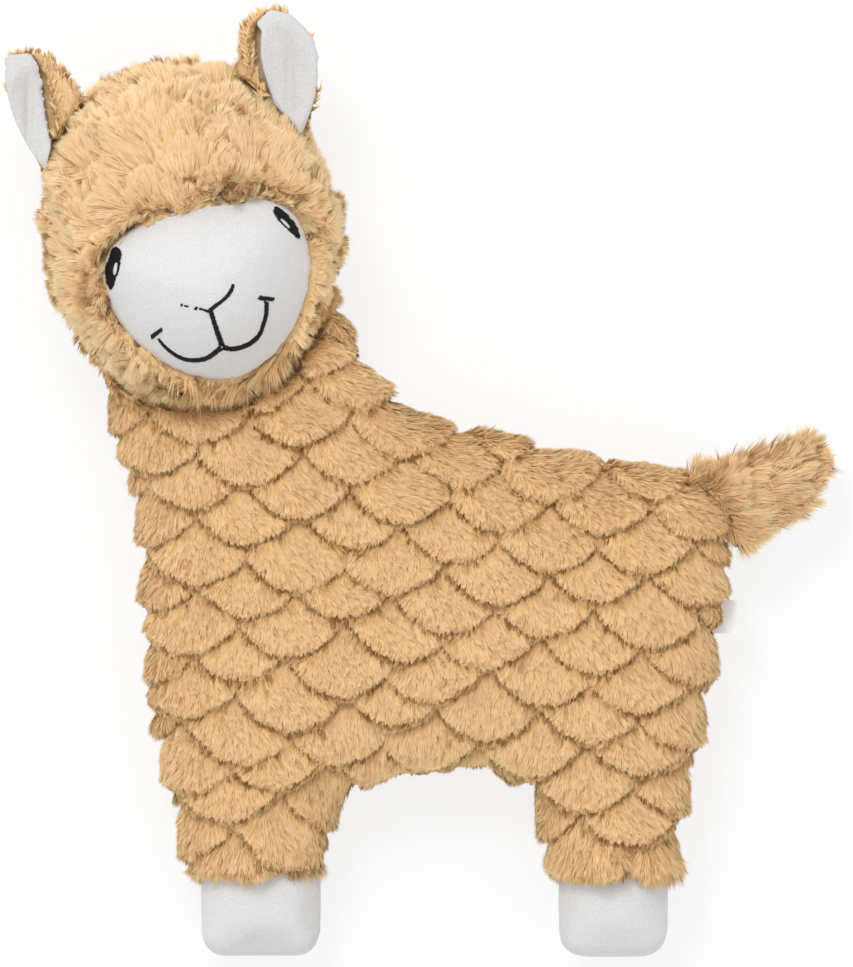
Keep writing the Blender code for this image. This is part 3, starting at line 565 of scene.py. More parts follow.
def grow_pile(name, coat, seed, soft):
    """Builds a coat's blades as one mesh. soft is how much their shading follows the skin, not each blade."""
    rng = np.random.default_rng(seed)
    count = len(coat.roots)
    root, across, tip = blade_corners(coat, rng)
    corners = np.stack([root - across, root + across, tip], axis=1)
    corners[:, :, 2] = np.maximum(corners[:, :, 2], FLOOR_CLEAR)
    mesh = bpy.data.meshes.new(name)
    mesh.vertices.add(count * 3)
    mesh.vertices.foreach_set("co", corners.astype(np.float32).ravel())
    mesh.loops.add(count * 3)
    mesh.loops.foreach_set("vertex_index", np.arange(count * 3, dtype=np.int32))
    mesh.polygons.add(count)
    mesh.polygons.foreach_set("loop_start", np.arange(0, count * 3, 3, dtype=np.int32))
    mesh.update(calc_edges=True)
    clump_shade = rng.normal(SHADE, SHADE_OF_BLADE, count), rng.normal(0, SHADE_OF_CLUMP, len(coat.centres))
    uv = np.zeros((count, 3, 2))
    # Across the UV: a random tone for the blade and its clump, plus the coat's painted light and shade.
    uv[:, :, 0] = between(clump_shade[0] + clump_shade[1][coat.clump] + coat.tint)[:, None]
    uv[:, 2, 1] = 1.0
    mesh.uv_layers.new(name=TUFT_UV).data.foreach_set("uv", uv.astype(np.float32).ravel())
    mesh.polygons.foreach_set("use_smooth", np.ones(count, bool))
    mesh.validate()
    shown = unit(coat.normals * soft + unit(np.cross(across, tip - root)) * (1 - soft))
    mesh.normals_split_custom_set_from_vertices(np.repeat(shown, 3, axis=0).astype(np.float32))
    piece = bpy.data.objects.new(name, mesh)
    bpy.context.scene.collection.objects.link(piece)
    print(name, "blades:", count)
    return piece


def pieces_of(name, coat, material, parts, seed, soft=0.6):
    """Grows a coat and cuts it into pieces, whole clumps at a time, by how high their centres lie."""
    height = coat.roots[coat.centres][:, 1]
    cuts = np.quantile(height[coat.clump], np.linspace(0, 1, parts + 1))
    band = np.clip(np.searchsorted(cuts, height, side="right") - 1, 0, parts - 1)
    for part in range(parts):
        mine, kept = np.flatnonzero(band[coat.clump] == part), np.flatnonzero(band == part)
        new_clump, new_root = np.full(len(height), -1), np.full(len(coat.roots), -1)
        new_clump[kept], new_root[mine] = np.arange(len(kept)), np.arange(len(mine))
        cut = SimpleNamespace(**{key: values[mine] for key, values in vars(coat).items() if key != "centres"})
        cut.clump, cut.centres = new_clump[cut.clump], new_root[coat.centres[kept]]
        dress(grow_pile(f"{name}_{part + 1}" if parts > 1 else name, cut, seed + part, soft), material)


# %% [markdown]
# The body's coat. The nap of the plush runs down the scales and fans out a little to both sides. A blade is
# as long as it takes to reach the lip of its scale and a little more, so the coat ends there in a soft
# serrated lip, and the next scale starts in its shade. Near the outline the nap turns outwards, which frays
# the silhouette.

# %% Combing a coat


def combed(roots, normals, lay, left, reach, places, spacing, seed, rng, turn=0.20, over=0.0010, short=0.82,
           angles=(14, 30), flare=0.18, unruly=0.06, wide=(0.00030, 0.00052)):
    """A coat whose blades lie along lay and stop past the lip that is left metres away."""
    count = len(roots)
    edge = flat_outward(normals)[1]
    clump, centres = clump_of(places, spacing, seed)
    lay = turned_in_skin(lay, normals, rng.normal(0, turn, len(centres))[clump])
    shortest, longest, start, fray = reach
    overhang = start + rng.uniform(0, 1, len(centres))[clump] * fray + rng.uniform(0, over, count)
    length = np.clip(left + overhang, shortest, longest) * rng.uniform(short, 1.05, count)
    lift = np.radians(rng.uniform(*angles, count)) + edge * flare + rng.normal(0, unruly, len(centres))[clump]
    return SimpleNamespace(
        roots=roots, normals=normals, lay=lay, length=length, lift=lift, width=rng.uniform(*wide, count),
        clump=clump, centres=centres)


# %% The body's coat
BODY_BLADES = 410000
BODY_CLUMP = 0.0017
PILE_LONG, PILE_SHORT = 0.0054, 0.0022
BODY_COMB = dict(
    turn=0.15, over=0.0006, short=0.80, angles=(14, 26), flare=0.20, unruly=0.04, wide=(0.00028, 0.00050))
UNDERCOAT, UNDERCOAT_LONG = 0.10, 0.0036
BEHIND = -0.25
CREVICE_WIDE, CREVICE_PAINTED_SHADE, WALL_LIGHT = 0.0023, 0.74, 0.6
HEM_Y, HEM_REAR, HEM_FRONT, HEM_INNER = -0.1215, 0.0036, 0.0026, 0.0030
LABEL_CLEAR = (0.104, -0.045)
HEAD_MIDDLE = np.array((-0.07567, 0.08820))


def flat_distance(points, place):
    """How far points lie from a place on the page."""
    return np.hypot(points[:, 0] - place[0], points[:, 1] - place[1])


def body_weight(places, normals):
    """Less pile on the far side, and none under the head or where the toy lies on the floor."""
    weight = np.where(normals[:, 2] > BEHIND, 1.0, 0.35)
    weight[flat_distance(places, HEAD_MIDDLE) < 0.040] = 0.0
    weight[(places[:, 2] < 0.0045) & (normals[:, 2] < -0.8)] = 0.15
    return weight


def body_lay(normals, row, column, side):
    """The nap of each blade: down its scale, spreading to both sides, and outwards near the outline."""
    outward, edge = flat_outward(normals)
    against = between(-(outward @ DOWN))
    nap = DOWN[None, :] + ACROSS[None, :] * (side * 0.65 + against * 1.3)[:, None]
    lay = along_skin(unit(nap) + outward * (0.55 * edge)[:, None], normals)
    return turned_in_skin(lay, normals, 0.10 * own[4][row % OWN, column % OWN])


def trimmed(length, roots):
    """Longer over the feet, where the hem falls, and short round the label."""
    hem = between((HEM_Y - roots[:, 1]) / 0.003)
    length += hem * np.where(roots[:, 0] > 0, HEM_REAR, np.where(roots[:, 0] < -0.050, HEM_FRONT, HEM_INNER))
    by_label = flat_distance(roots, LABEL_CLEAR) < 0.008
    length[by_label] = np.minimum(length[by_label], 0.0024)


def body_coat(count, seed):
    """A coat that ends at the lips of the scales, with painted shade on its blades in the crevices under
    them.
    """
    roots, normals = throw_roots(body_skin, count, seed, body_weight)
    row, column, side, left, _, start = scale_of(roots)
    rng = np.random.default_rng(seed + 1)
    fray = 0.0010 + 0.0014 * flat_outward(normals)[1]
    places = roots + np.stack([column * 0.5, np.zeros(count), row * 0.1], axis=1)
    coat = combed(
        roots, normals, body_lay(normals, row, column, side), left, (PILE_SHORT, PILE_LONG, 0.0, fray),
        places, BODY_CLUMP, seed + 2, rng, **BODY_COMB)
    upright = (rng.random(count) < UNDERCOAT) & (left > 0.0012)
    coat.lift[upright] = np.radians(rng.uniform(38, 62, upright.sum()))
    coat.length[upright] = np.minimum(coat.length[upright], UNDERCOAT_LONG) * 0.85
    wall = between((TURNED - np.abs(normals[:, 2])) / 0.45)
    behind = normals[:, 2] < BEHIND
    crevice = bell(start / CREVICE_WIDE)
    coat.width *= (1 + 0.6 * wall) * np.where(behind, 2.0, 1.0)
    coat.length *= np.where(behind, 1.25, 1.0) * (1 - 0.45 * crevice)
    trimmed(coat.length, roots)
    coat.pull = 0.30 + 0.40 * np.exp(-left / 0.0025)
    # Painted shade: blades rooted in a crevice under a lip are darker, less so on steep walls.
    coat.tint = -CREVICE_PAINTED_SHADE * crevice * (1 - WALL_LIGHT * wall)
    return coat


pieces_of("body_pile", body_coat(BODY_BLADES, 11), sand_pile, 3, 21)

# %% [markdown]
# The head wears the same plush, brushed the other way and teased apart: it fans up and outwards from the
# brow, and breaks into petals of its own, 15 to 20 mm long, that overlap like leaves. A petal is a tongue
# that rises from its base to its lip. Where several lie over a point, the highest owns it. The skin takes
# the petals' heights, and each blade takes its petal's direction and ends at its petal's lip.

# %% Petals of the teased plush
PETAL_LEAST, PETAL_MOST = (0.85, 0.85, 0.7), (1.2, 1.2, 1.25)


def petals_on(roots, normals, nap, spacing, spread, seed, size):
    """Petals whose bases are spread over the skin, each a place, a direction and how long, wide and tall."""
    rng = np.random.default_rng(seed)
    seeds = clump_of(roots, spacing, seed)[1]
    count = len(seeds)
    way = turned_in_skin(nap[seeds], normals[seeds], rng.normal(0, spread, count))
    base = roots[seeds] - way * size[0] * 0.45
    spans = zip(size, PETAL_LEAST, PETAL_MOST)
    sizes = [full * rng.uniform(least, most, count) for full, least, most in spans]
    return base, way, np.cross(way, normals[seeds]), normals[seeds], *sizes


def petal_of(points, normals, petals):
    """For each point: the petal on top there, the place across it, metres to its lip, and its height."""
    count = len(points)
    owner, side = np.full(count, -1), np.zeros(count)
    left, height = np.full(count, 0.004), np.zeros(count)
    for index, (base, way, across, up, long, wide, tall) in enumerate(zip(*petals)):
        away = points - base
        near = np.flatnonzero(((away ** 2).sum(axis=1) < (1.3 * long) ** 2) & (normals @ up > 0.3))
        if not len(near):
            continue
        along = away[near] @ way / long
        aside = away[near] @ across / (wide / 2)
        tip = 1 - 0.5 * np.abs(aside) ** 1.8
        inside = (np.abs(aside) < 1) & (along > 0) & (along < tip)
        high = tall * (0.15 + 0.85 * along) * np.sqrt(between(1 - aside ** 2)) * inside
        better = inside & (high > height[near])
        mine = near[better]
        owner[mine], side[mine], height[mine] = index, aside[better], high[better]
        left[mine] = ((tip - along) * long)[better]
    return owner, side, left, height


def petal_coat(roots, normals, nap, petals, seed, shortest, longest, spacing, angles=(14, 30), fray=0.0034):
    """A coat whose blades follow petals."""
    owner, side, left, height = petal_of(roots, normals, petals)
    outward, edge = flat_outward(normals)
    way = np.where((owner >= 0)[:, None], petals[1][owner], nap)
    across = petals[2][owner] * (owner >= 0)[:, None]
    lay = along_skin(way + across * (side * 0.55)[:, None] + outward * (0.5 * edge)[:, None], normals)
    places = roots + owner[:, None] * np.array((0, 0, 0.1))
    coat = combed(
        roots, normals, lay, left, (shortest, longest, 0.0004, fray), places, spacing, seed + 1,
        np.random.default_rng(seed), angles=angles)
    coat.width *= np.where(normals[:, 2] < BEHIND, 1.8, 1.0)
    coat.pull = 0.35 + 0.40 * np.exp(-left / 0.003)
    # Painted shade: blades rooted low between petals are darker.
    coat.tint = -0.34 * bell(height / 0.0011)
    return coat


# %% [markdown]
# The head is turned 15 degrees on the page, so it gets axes of its own. Three fields on them say where a
# point is: its depth in the face, how far it is over the brow, and how far under the chin.

# %% The head's own axes
HEAD_TURN = math.radians(15.0)
HEAD_Z = 0.0415
FACE_V, FACE_HALF, FACE_HIGH, FACE_DEEP = -0.0165, 0.035, 0.0216, 0.038
BROW_V = 0.012
BROW = HEAD_MIDDLE + np.array((math.sin(HEAD_TURN), -math.cos(HEAD_TURN))) * BROW_V


def head_frame(points):
    """The head's own axes: u across the face to the right, v up to the crown, from the middle of the head."""
    away = points[:, :2] - HEAD_MIDDLE
    c, s = math.cos(HEAD_TURN), math.sin(HEAD_TURN)
    return away[:, 0] * c + away[:, 1] * s, -away[:, 0] * s + away[:, 1] * c


def face_depth(points, margin=0.0):
    """Below 1 inside the face, 1 on its edge."""
    u, v = head_frame(points)
    v = v - FACE_V
    up = v > 0
    high = np.where(up, FACE_HIGH, FACE_DEEP) - margin
    power = np.where(up, 2.7, 1.75)
    return (np.abs(u) / (FACE_HALF - margin)) ** power + (np.abs(v) / high) ** power


def over_brow(points):
    """1 just above the face, where the nap starts and lies thick, and 0 elsewhere.
    There the pile gets painted light.
    """
    u, v = head_frame(points)
    return bell((v - BROW_V) / 0.011) * between(1.5 - np.abs(u) / 0.026)


def under_chin(points):
    """1 where the hood's pile falls over the neck, and 0 from the cheeks up."""
    u, v = head_frame(points)
    return between((-0.036 - v - np.abs(u) * 0.15) / 0.012)


def head_nap(points, normals):
    """From the brow outwards in front, down the back of the head, and over the neck under the chin."""
    away = np.zeros((len(points), 3))
    away[:, :2] = points[:, :2] - BROW
    back = between((HEAD_Z - points[:, 2]) / 0.03)[:, None]
    low = under_chin(points)[:, None]
    outward, edge = flat_outward(normals)
    nap = unit(away) * (1 - back) + np.array((0, -1.0, 0)) * back
    nap = nap * (1 - low) + unit(away * np.array((0.8, 1, 1)) + np.array((-0.01, -0.06, 0))) * low
    return along_skin(nap + outward * (0.4 * edge)[:, None], normals)


# %% Petals on the head's skin
HOOD_LEAN, HOOD_LEAN_Y, HOOD_LEAN_REACH = 0.0030, 0.0905, 0.0135
RIM_FULLNESS, BROW_FULLNESS = 0.0032, 0.0024

places, normals = throw_roots(head_skin, 4000, 71)
head_petals = petals_on(
    places, normals, head_nap(places, normals), 0.0098, 0.50, 72, (0.0215, 0.0190, 0.0054))
points, normals = read_skin(head_skin)
depth = face_depth(points)
rim = bell((depth - 1) / np.where(depth > 1, 0.55, 0.10)) * (points[:, 2] > HEAD_Z)
upper = between(head_frame(points)[1] / 0.008)
points = points + normals * (RIM_FULLNESS * rim + BROW_FULLNESS * rim * upper)[:, None]
height = petal_of(points, normals, head_petals)[3] * (1 - 0.6 * rim)
height[(face_depth(points) < 1) & (points[:, 2] > HEAD_Z)] = 0
outward, edge = flat_outward(normals)
points = points + normals * height[:, None] - outward * edge[:, None] * EDGE_TRIM
points[:, 0] += HOOD_LEAN * bell((points[:, 1] - HOOD_LEAN_Y) / HOOD_LEAN_REACH)
write_points(head_skin, points, above_floor=True)
print("petals on the head:", len(head_petals[0]))

# %% The head's coat
HEAD_BLADES = 190000
# Under the chin the pile is longer, more frayed and turned, with painted shade, as it lies in the head's
# shade. Over the brow it leans up and gets painted light, to lift the shade of the rim.
CHIN_LONGER, CHIN_FRAY, CHIN_TURN, CHIN_PAINTED_SHADE = 0.0024, 0.0036, 0.45, -0.42
BROW_LEAN, BROW_PAINTED_LIGHT = np.array((0, 0.5, 1.4)), 0.16
RIM_FLIPPED, FLIPPED_PAINTED_LIGHT = 0.25, 0.15


def head_weight(places, normals):
    """None inside the face, less at the back, and next to none where the head lies on the floor."""
    weight = np.where(places[:, 2] > HEAD_Z - 0.012, 1.0, 0.45)
    weight[(face_depth(places, -0.0006) < 1) & (places[:, 2] > HEAD_Z)] = 0.0
    weight[(places[:, 2] < 0.004) & (normals[:, 2] < -0.8)] = 0.1
    return weight


roots, normals = throw_roots(head_skin, HEAD_BLADES, 31, head_weight)
chin, brow, depth, front = under_chin(roots), over_brow(roots), face_depth(roots), roots[:, 2] > HEAD_Z
coat = petal_coat(
    roots, normals, head_nap(roots, normals), head_petals, 32, 0.0036, 0.0084 + CHIN_LONGER * chin, 0.0024,
    fray=0.0034 + CHIN_FRAY * chin)
coat.normals = unit(coat.normals + BROW_LEAN * brow[:, None])
# Painted shade under the chin and painted light over the brow.
coat.tint += CHIN_PAINTED_SHADE * chin + BROW_PAINTED_LIGHT * brow
rng = np.random.default_rng(33)
turn = rng.normal(0, CHIN_TURN, len(coat.centres))[coat.clump] * chin
coat.lay = turned_in_skin(coat.lay, coat.normals, turn)
beside = np.clip(1.5 - depth, 0, 0.5) * 2 * front
coat.length *= 1 - 0.35 * beside * (1 - chin)
# A share of the blades at the brow's rim are turned in to the face, short and upright, with painted light to
# lift the rim's shade.
at_rim = (depth < 1.5) & front & (brow > 0.2) & (rng.random(len(roots)) < RIM_FLIPPED)
coat.lay[at_rim] *= -1
coat.length[at_rim] = rng.uniform(0.0024, 0.0036, at_rim.sum())
coat.lift[at_rim] = np.radians(rng.uniform(40, 65, at_rim.sum()))
coat.pull[at_rim] *= 0.3
coat.tint[at_rim] += FLIPPED_PAINTED_LIGHT
pieces_of("head_pile", coat, curly_pile, 2, 41)

# %% [markdown]
# The ears are a plush back and a smooth white lining, sewn face to face and turned, so a strip of plush
# shows beside the white. Both keep their CAD outline. The pile grows only where no lining lies over it,
# which a ray from each root finds out.

# %% Pieces that cover others


def tree_of(piece):
    """A piece's triangles, ready for rays."""
    piece.data.calc_loop_triangles()
    return BVHTree.FromPolygons(
        [v.co for v in piece.data.vertices], [tuple(t.vertices) for t in piece.data.loop_triangles])


def thrown_free(skin, count, seed, cover, weight=None):
    """Random points on a skin, without those from which a ray along the normal meets the covering piece."""
    roots, normals = throw_roots(skin, count, seed, weight)
    tree = tree_of(cover)
    free = np.array([
        tree.ray_cast(Vector(root) - Vector(normal) * 0.001, Vector(normal), 0.006)[0] is None
        for root, normal in zip(roots, normals)])
    return roots[free], normals[free]


# %% The ears
LINING_WIDER = 0.0019
EAR_DISH, EAR_CREASE, EAR_PROUD, EAR_STRIP = 0.0030, 0.0016, 0.0016, 0.0027
EAR_PAINTED_LIGHT = 0.14


def shape_lining(lining, white):
    """Brings a lining out to the ear's outline at its top, and presses a dish with a soft fold in it."""
    points, normals = read_skin(lining)
    low, high = points.min(axis=0), points.max(axis=0)
    outward = normals * np.array((1, 1, 0))
    points = points + outward * (LINING_WIDER * between(outward[:, 1] * 2.0 - 0.2))[:, None]
    inner = between(-outward[:, 0] * white) * between(1.2 - outward[:, 1])
    points[:, 0] += white * EAR_STRIP * inner
    across, along = ((points[:, k] - (low[k] + high[k]) / 2) / (high[k] - low[k]) for k in range(2))
    away = np.hypot(across, along)
    dish = between(1 - (away / 0.46) ** 2) * EAR_DISH
    fold = bell((across * white - 0.06) / 0.07)
    crease = fold * between(1 - (away / 0.40) ** 2) * EAR_CREASE
    points[:, 2] += EAR_PROUD - between(normals[:, 2] * 2) * (dish + crease)
    write_points(lining, points)
    apply_modifier(lining, "SMOOTH", factor=0.5, iterations=4)


EAR_BLADES = 9000
for side, white in (("left", -1.0), ("right", 1.0)):
    back = soft_skin(f"ear_{side}_plush_backing", [f"ear_{side}_back"], 0.0008, 2, 0.0024)
    lining = soft_skin(f"ear_{side}_velboa_lining", [f"ear_{side}_lining"], 0.0006, 3, -0.0009)
    shape_lining(lining, white)
    dress(back, backing_knit, [f"ear_{side}_back"])
    dress(lining, ear_lining_painted_shade, [f"ear_{side}_lining"])
    roots, normals = thrown_free(back, EAR_BLADES, 51, lining)
    shown = ((normals[:, 0] * white < -0.05) & (normals[:, 1] < 0.75)) | (normals[:, 2] < -0.35)
    roots, normals = roots[shown], normals[shown]
    nap = along_skin(np.broadcast_to((-0.10 * white, 1.0, 0.0), roots.shape), normals)
    petals = petals_on(roots, normals, nap, 0.0070, 0.45, 52, (0.0120, 0.0110, 0.0015))
    coat = petal_coat(roots, normals, nap, petals, 53, 0.0022, 0.0044, 0.0020, (10, 22), 0.0016)
    # Painted light: the ear's pile is made lighter to lift the shade beside the lining.
    coat.tint += EAR_PAINTED_LIGHT
    pieces_of(f"ear_{side}_pile", coat, curly_pile, 1, 54, soft=0.75)

# %% [markdown]
# The tail is a small flat cushion: plush on top and white cloth below. Its pile is long and runs towards
# the tip.

# %% The tail
TAIL_BLADES = 26000
TAIL_SEAM_Y, TAIL_SEWN, TAIL_SHIFT, TAIL_PAINTED_LIGHT = -0.006, 0.010, 0.0055, 0.14
tail_skin = soft_skin("tail_plush_backing", ["tail_top_panel"], 0.0009, 4, 0.0036)
tail_under = soft_skin("tail_velboa_underside", ["tail_under_panel"], 0.0008, 2, 0.0004)
dress(tail_skin, backing_knit, ["tail_top_panel"])
dress(tail_under, white_velboa, ["tail_under_panel"])
low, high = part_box("tail_top_panel")
TAIL_ROOT = np.array((low.x - 0.026, low.y * 0.55 + high.y * 0.45 - 0.010, high.z))


def tail_nap(points, normals):
    """From the root to the tip, spreading to both edges."""
    return along_skin(unit((points - TAIL_ROOT) * np.array((1, 1, 0))), normals)


def tail_weight(places, normals):
    """None on the side that the white cloth covers."""
    return np.where(normals[:, 2] > -0.4, 1.0, 0.0)


places, normals = throw_roots(tail_skin, 1500, 64)
petals = petals_on(places, normals, tail_nap(places, normals), 0.0075, 0.30, 65, (0.0160, 0.0130, 0.0030))
points, normals = read_skin(tail_skin)
points = points + normals * petal_of(points, normals, petals)[3][:, None]
sewn = bell((points[:, 0] - low.x) / TAIL_SEWN)
points[:, 1] += sewn * (TAIL_SEAM_Y - points[:, 1]) * np.where(points[:, 1] < TAIL_SEAM_Y, 0.45, 0.36)
points[:, 0] -= sewn * TAIL_SHIFT
write_points(tail_skin, points)
roots, normals = thrown_free(tail_skin, TAIL_BLADES, 61, tail_under, tail_weight)
nap = tail_nap(roots, normals)
coat = petal_coat(roots, normals, nap, petals, 62, 0.0040, 0.0105, 0.0030, (12, 26), 0.0060)
tip = between((roots[:, 0] - high.x + 0.016) / 0.010)
coat.length *= 1 - tip * (0.55 * between(normals[:, 0]) + 0.30 * between(normals[:, 1]))
# Painted light: the tail's pile is made lighter to lift the shade between its petals and blades.
coat.tint += TAIL_PAINTED_LIGHT
pieces_of("tail_pile", coat, curly_pile, 1, 63, soft=0.78)

# %% [markdown]
# The white cloth: the face and the four foot panels. The face is one crowned patch set into the hood. Each
# foot is two panels sewn round a small pillow, and what makes a stuffed pillow look stuffed is the way its
# cloth swells between the seams. So each foot is simulated: cloth with air inside it, held along its seam
# and at its top edge.

# %% The face
FACE_TUCK, FACE_RIM_DROP = 0.0045, 0.0032
face_cloth = soft_skin("face_velboa", ["face_panel"], 0.0010, 5, -0.0008)
points, normals = read_skin(face_cloth)
inside = between(-normals[:, 2] * 1.5 + 0.4)[:, None]
points -= inside * np.array((0, 0, FACE_TUCK))
points[:, :2] += ((HEAD_MIDDLE - points[:, :2]) * 0.06) * inside
points[:, 2] -= FACE_RIM_DROP * between((face_depth(points) - 0.97) / 0.10)
write_points(face_cloth, points)
apply_modifier(face_cloth, "SMOOTH", factor=0.5, iterations=3)
face_cloth.data.shade_smooth()
dress(face_cloth, white_velboa, ["face_panel"])

# %% Cloth with air inside
CLOTH_FRAMES, CLOTH_MASS, CLOTH_PRESSURE, CLOTH_CAP = 20, 0.02, 4.0, 0.0030


def stuffed(piece, held):
    """Blows a closed skin up as cloth, without gravity. held is 1 where the cloth is sewn down."""
    group = piece.vertex_groups.new(name="sewn")
    for index in np.flatnonzero(held > 0):
        group.add([int(index)], float(held[index]), "REPLACE")
    before = read_skin(piece)[0]
    select_only(piece)
    cloth = piece.modifiers.new("cloth", "CLOTH")
    cloth.settings.mass = CLOTH_MASS
    cloth.settings.vertex_group_mass = group.name
    cloth.settings.use_pressure = True
    cloth.settings.uniform_pressure_force = CLOTH_PRESSURE
    cloth.settings.effector_weights.gravity = 0
    cloth.point_cache.frame_start, cloth.point_cache.frame_end = 1, CLOTH_FRAMES
    for step in range(1, CLOTH_FRAMES + 1):
        bpy.context.scene.frame_set(step)
    bpy.ops.object.modifier_apply(modifier=cloth.name)
    bpy.context.scene.frame_set(1)
    moved = read_skin(piece)[0] - before
    far = np.linalg.norm(moved, axis=1, keepdims=True)
    write_points(piece, before + moved * np.minimum(1, CLOTH_CAP / np.maximum(far, 1e-9)))
    print(piece.name, "swelled by", round(float(far.max()) * 1000, 2), "mm")


# %% The feet
SEAM_Z, SEAM_TALL = 0.0220, 0.0012
FOOT_TUCK = 0.006
FOOT_SHIFT = {"front": 0.0014, "rear": -0.0012}


def near_top(points, start, reach):
    """0 below start, in metres under the highest point, and 1 from reach above it."""
    return between((points[:, 1] - points[:, 1].max() + start) / reach)


for foot, shift in FOOT_SHIFT.items():
    panels = [f"foot_{foot}_near_panel", f"foot_{foot}_far_panel"]
    pillow = soft_skin(f"foot_{foot}_velboa", [*panels, f"foot_{foot}_filling"], 0.0016, 12, -0.0006)
    points, normals = read_skin(pillow)
    seam = between(1.6 - np.abs(points[:, 2] - SEAM_Z) / SEAM_TALL) * (np.abs(normals[:, 2]) < 0.6)
    stuffed(pillow, np.maximum(seam, near_top(points, 0.006, 0.003)))
    apply_modifier(pillow, "SMOOTH", factor=0.5, iterations=2)
    apply_modifier(pillow, "SUBSURF", levels=1, render_levels=1)
    points = read_skin(pillow)[0]
    points[:, 1] += FOOT_TUCK * near_top(points, 0.010, 0.008)
    points[:, 0] += shift
    write_points(pillow, points)
    pillow.data.shade_smooth()
    dress(pillow, white_velboa, panels)

# %% [markdown]
# The embroidery is satin stitch: black thread laid to and fro, so close that each line reads as a raised
# ribbon with a slightly toothed edge. Here each stitch is a thread of its own, a thin tube that arches over
# the cloth and dips into it at both ends. A ray cast down on the face finds the cloth under each. The eyes
# are filled with level rows, and the nose and mouth are short stitches set across their lines.

# %% Stitches across a line
THREAD = 0.00042
STITCH_PITCH = 0.00031
LINE_FULLNESS, LINE_SLANT = 1.2, 0.35
PHOTO_MIDDLE = (426.5, 483.5)


def on_page(place):
    """A pixel of the photograph as a point over the toy, in metres."""
    return (np.asarray(place, float) - PHOTO_MIDDLE) * (PIXEL, -PIXEL) + (AIM.x, AIM.y)


def stitches_across(line, wide, seed):
    """Stitches set across a line of pixels. wide says how wide it is at each of its points, in pixels."""
    rng = np.random.default_rng(seed)
    points = on_page(line)
    mean = np.ones(9) / 9
    length = np.concatenate([[0], np.cumsum(np.linalg.norm(np.diff(points, axis=0), axis=1))])
    at = np.arange(0, length[-1], STITCH_PITCH)
    fine = np.stack([np.interp(at, length, points[:, k]) for k in range(2)], axis=1)
    padded = np.pad(fine, ((4, 4), (0, 0)), mode="edge")
    fine = np.stack([np.convolve(padded[:, k], mean, "valid") for k in range(2)], axis=1)
    half = np.interp(at, length, wide) * PIXEL * LINE_FULLNESS / 2
    along = unit(np.gradient(fine, axis=0))
    across = np.stack([-along[:, 1], along[:, 0]], axis=1) + along * LINE_SLANT
    out = half[:, None] * rng.uniform(0.86, 1.14, (len(at), 2))
    return np.stack([fine - across * out[:, :1], fine + across * out[:, 1:]], axis=1)


# %% Stitches that fill an eye
RAGGED = 0.00030
SHORTEST_BESIDE_GLINT, SHORTEST_STITCH = 0.0003, 0.0004


def stitches_filling(outline, glint, seed):
    """Level stitches that fill an outline of pixels and leave an oval glint open."""
    rng = np.random.default_rng(seed)
    outline = on_page(outline)
    (gx, gy), (dx, dy), thin = on_page(glint[0]), glint[1], glint[2] * PIXEL
    reach = math.hypot(dx, dy) * PIXEL
    gu = np.array((dx, -dy)) / math.hypot(dx, dy)
    ends = []
    for y in np.arange(outline[:, 1].min() + STITCH_PITCH, outline[:, 1].max(), STITCH_PITCH):
        a, b = outline, np.roll(outline, -1, axis=0)
        cut = (a[:, 1] <= y) != (b[:, 1] <= y)
        xs = np.sort(a[cut, 0] + (y - a[cut, 1]) / (b[cut, 1] - a[cut, 1]) * (b[cut, 0] - a[cut, 0]))
        for left, right in zip(xs[::2], xs[1::2]):
            left, right = left - rng.uniform(0, RAGGED), right + rng.uniform(0, RAGGED * 0.6)
            across = np.linspace(left, right, 60)
            du, dv = across - gx, y - gy
            along, aside = (du * gu[0] + dv * gu[1]) / reach, (-du * gu[1] + dv * gu[0]) / thin
            open_here = along ** 2 + aside ** 2 < 1
            tilt = rng.uniform(-0.0001, 0.0001)
            if open_here.any():
                first, last = across[open_here][0], across[open_here][-1]
                if first - left > SHORTEST_BESIDE_GLINT:
                    ends.append(((left, y - tilt), (first, y)))
                if right - last > SHORTEST_BESIDE_GLINT:
                    ends.append(((last, y), (right, y + tilt)))
            elif right - left > SHORTEST_STITCH:
                ends.append(((left, y - tilt), (right, y + tilt)))
    return np.array(ends)


# %% Threads over the face
RINGS, SIDES = 5, 6
THREAD_RISE = np.array((-0.5, 0.45, 0.75, 0.45, -0.5)) * THREAD
THREAD_THICK = np.array((0.7, 1.0, 1.0, 1.0, 0.7)) * THREAD / 2
OVER_FACE, NEAR_FACE = 0.2, 0.072
face_tree = tree_of(face_cloth)


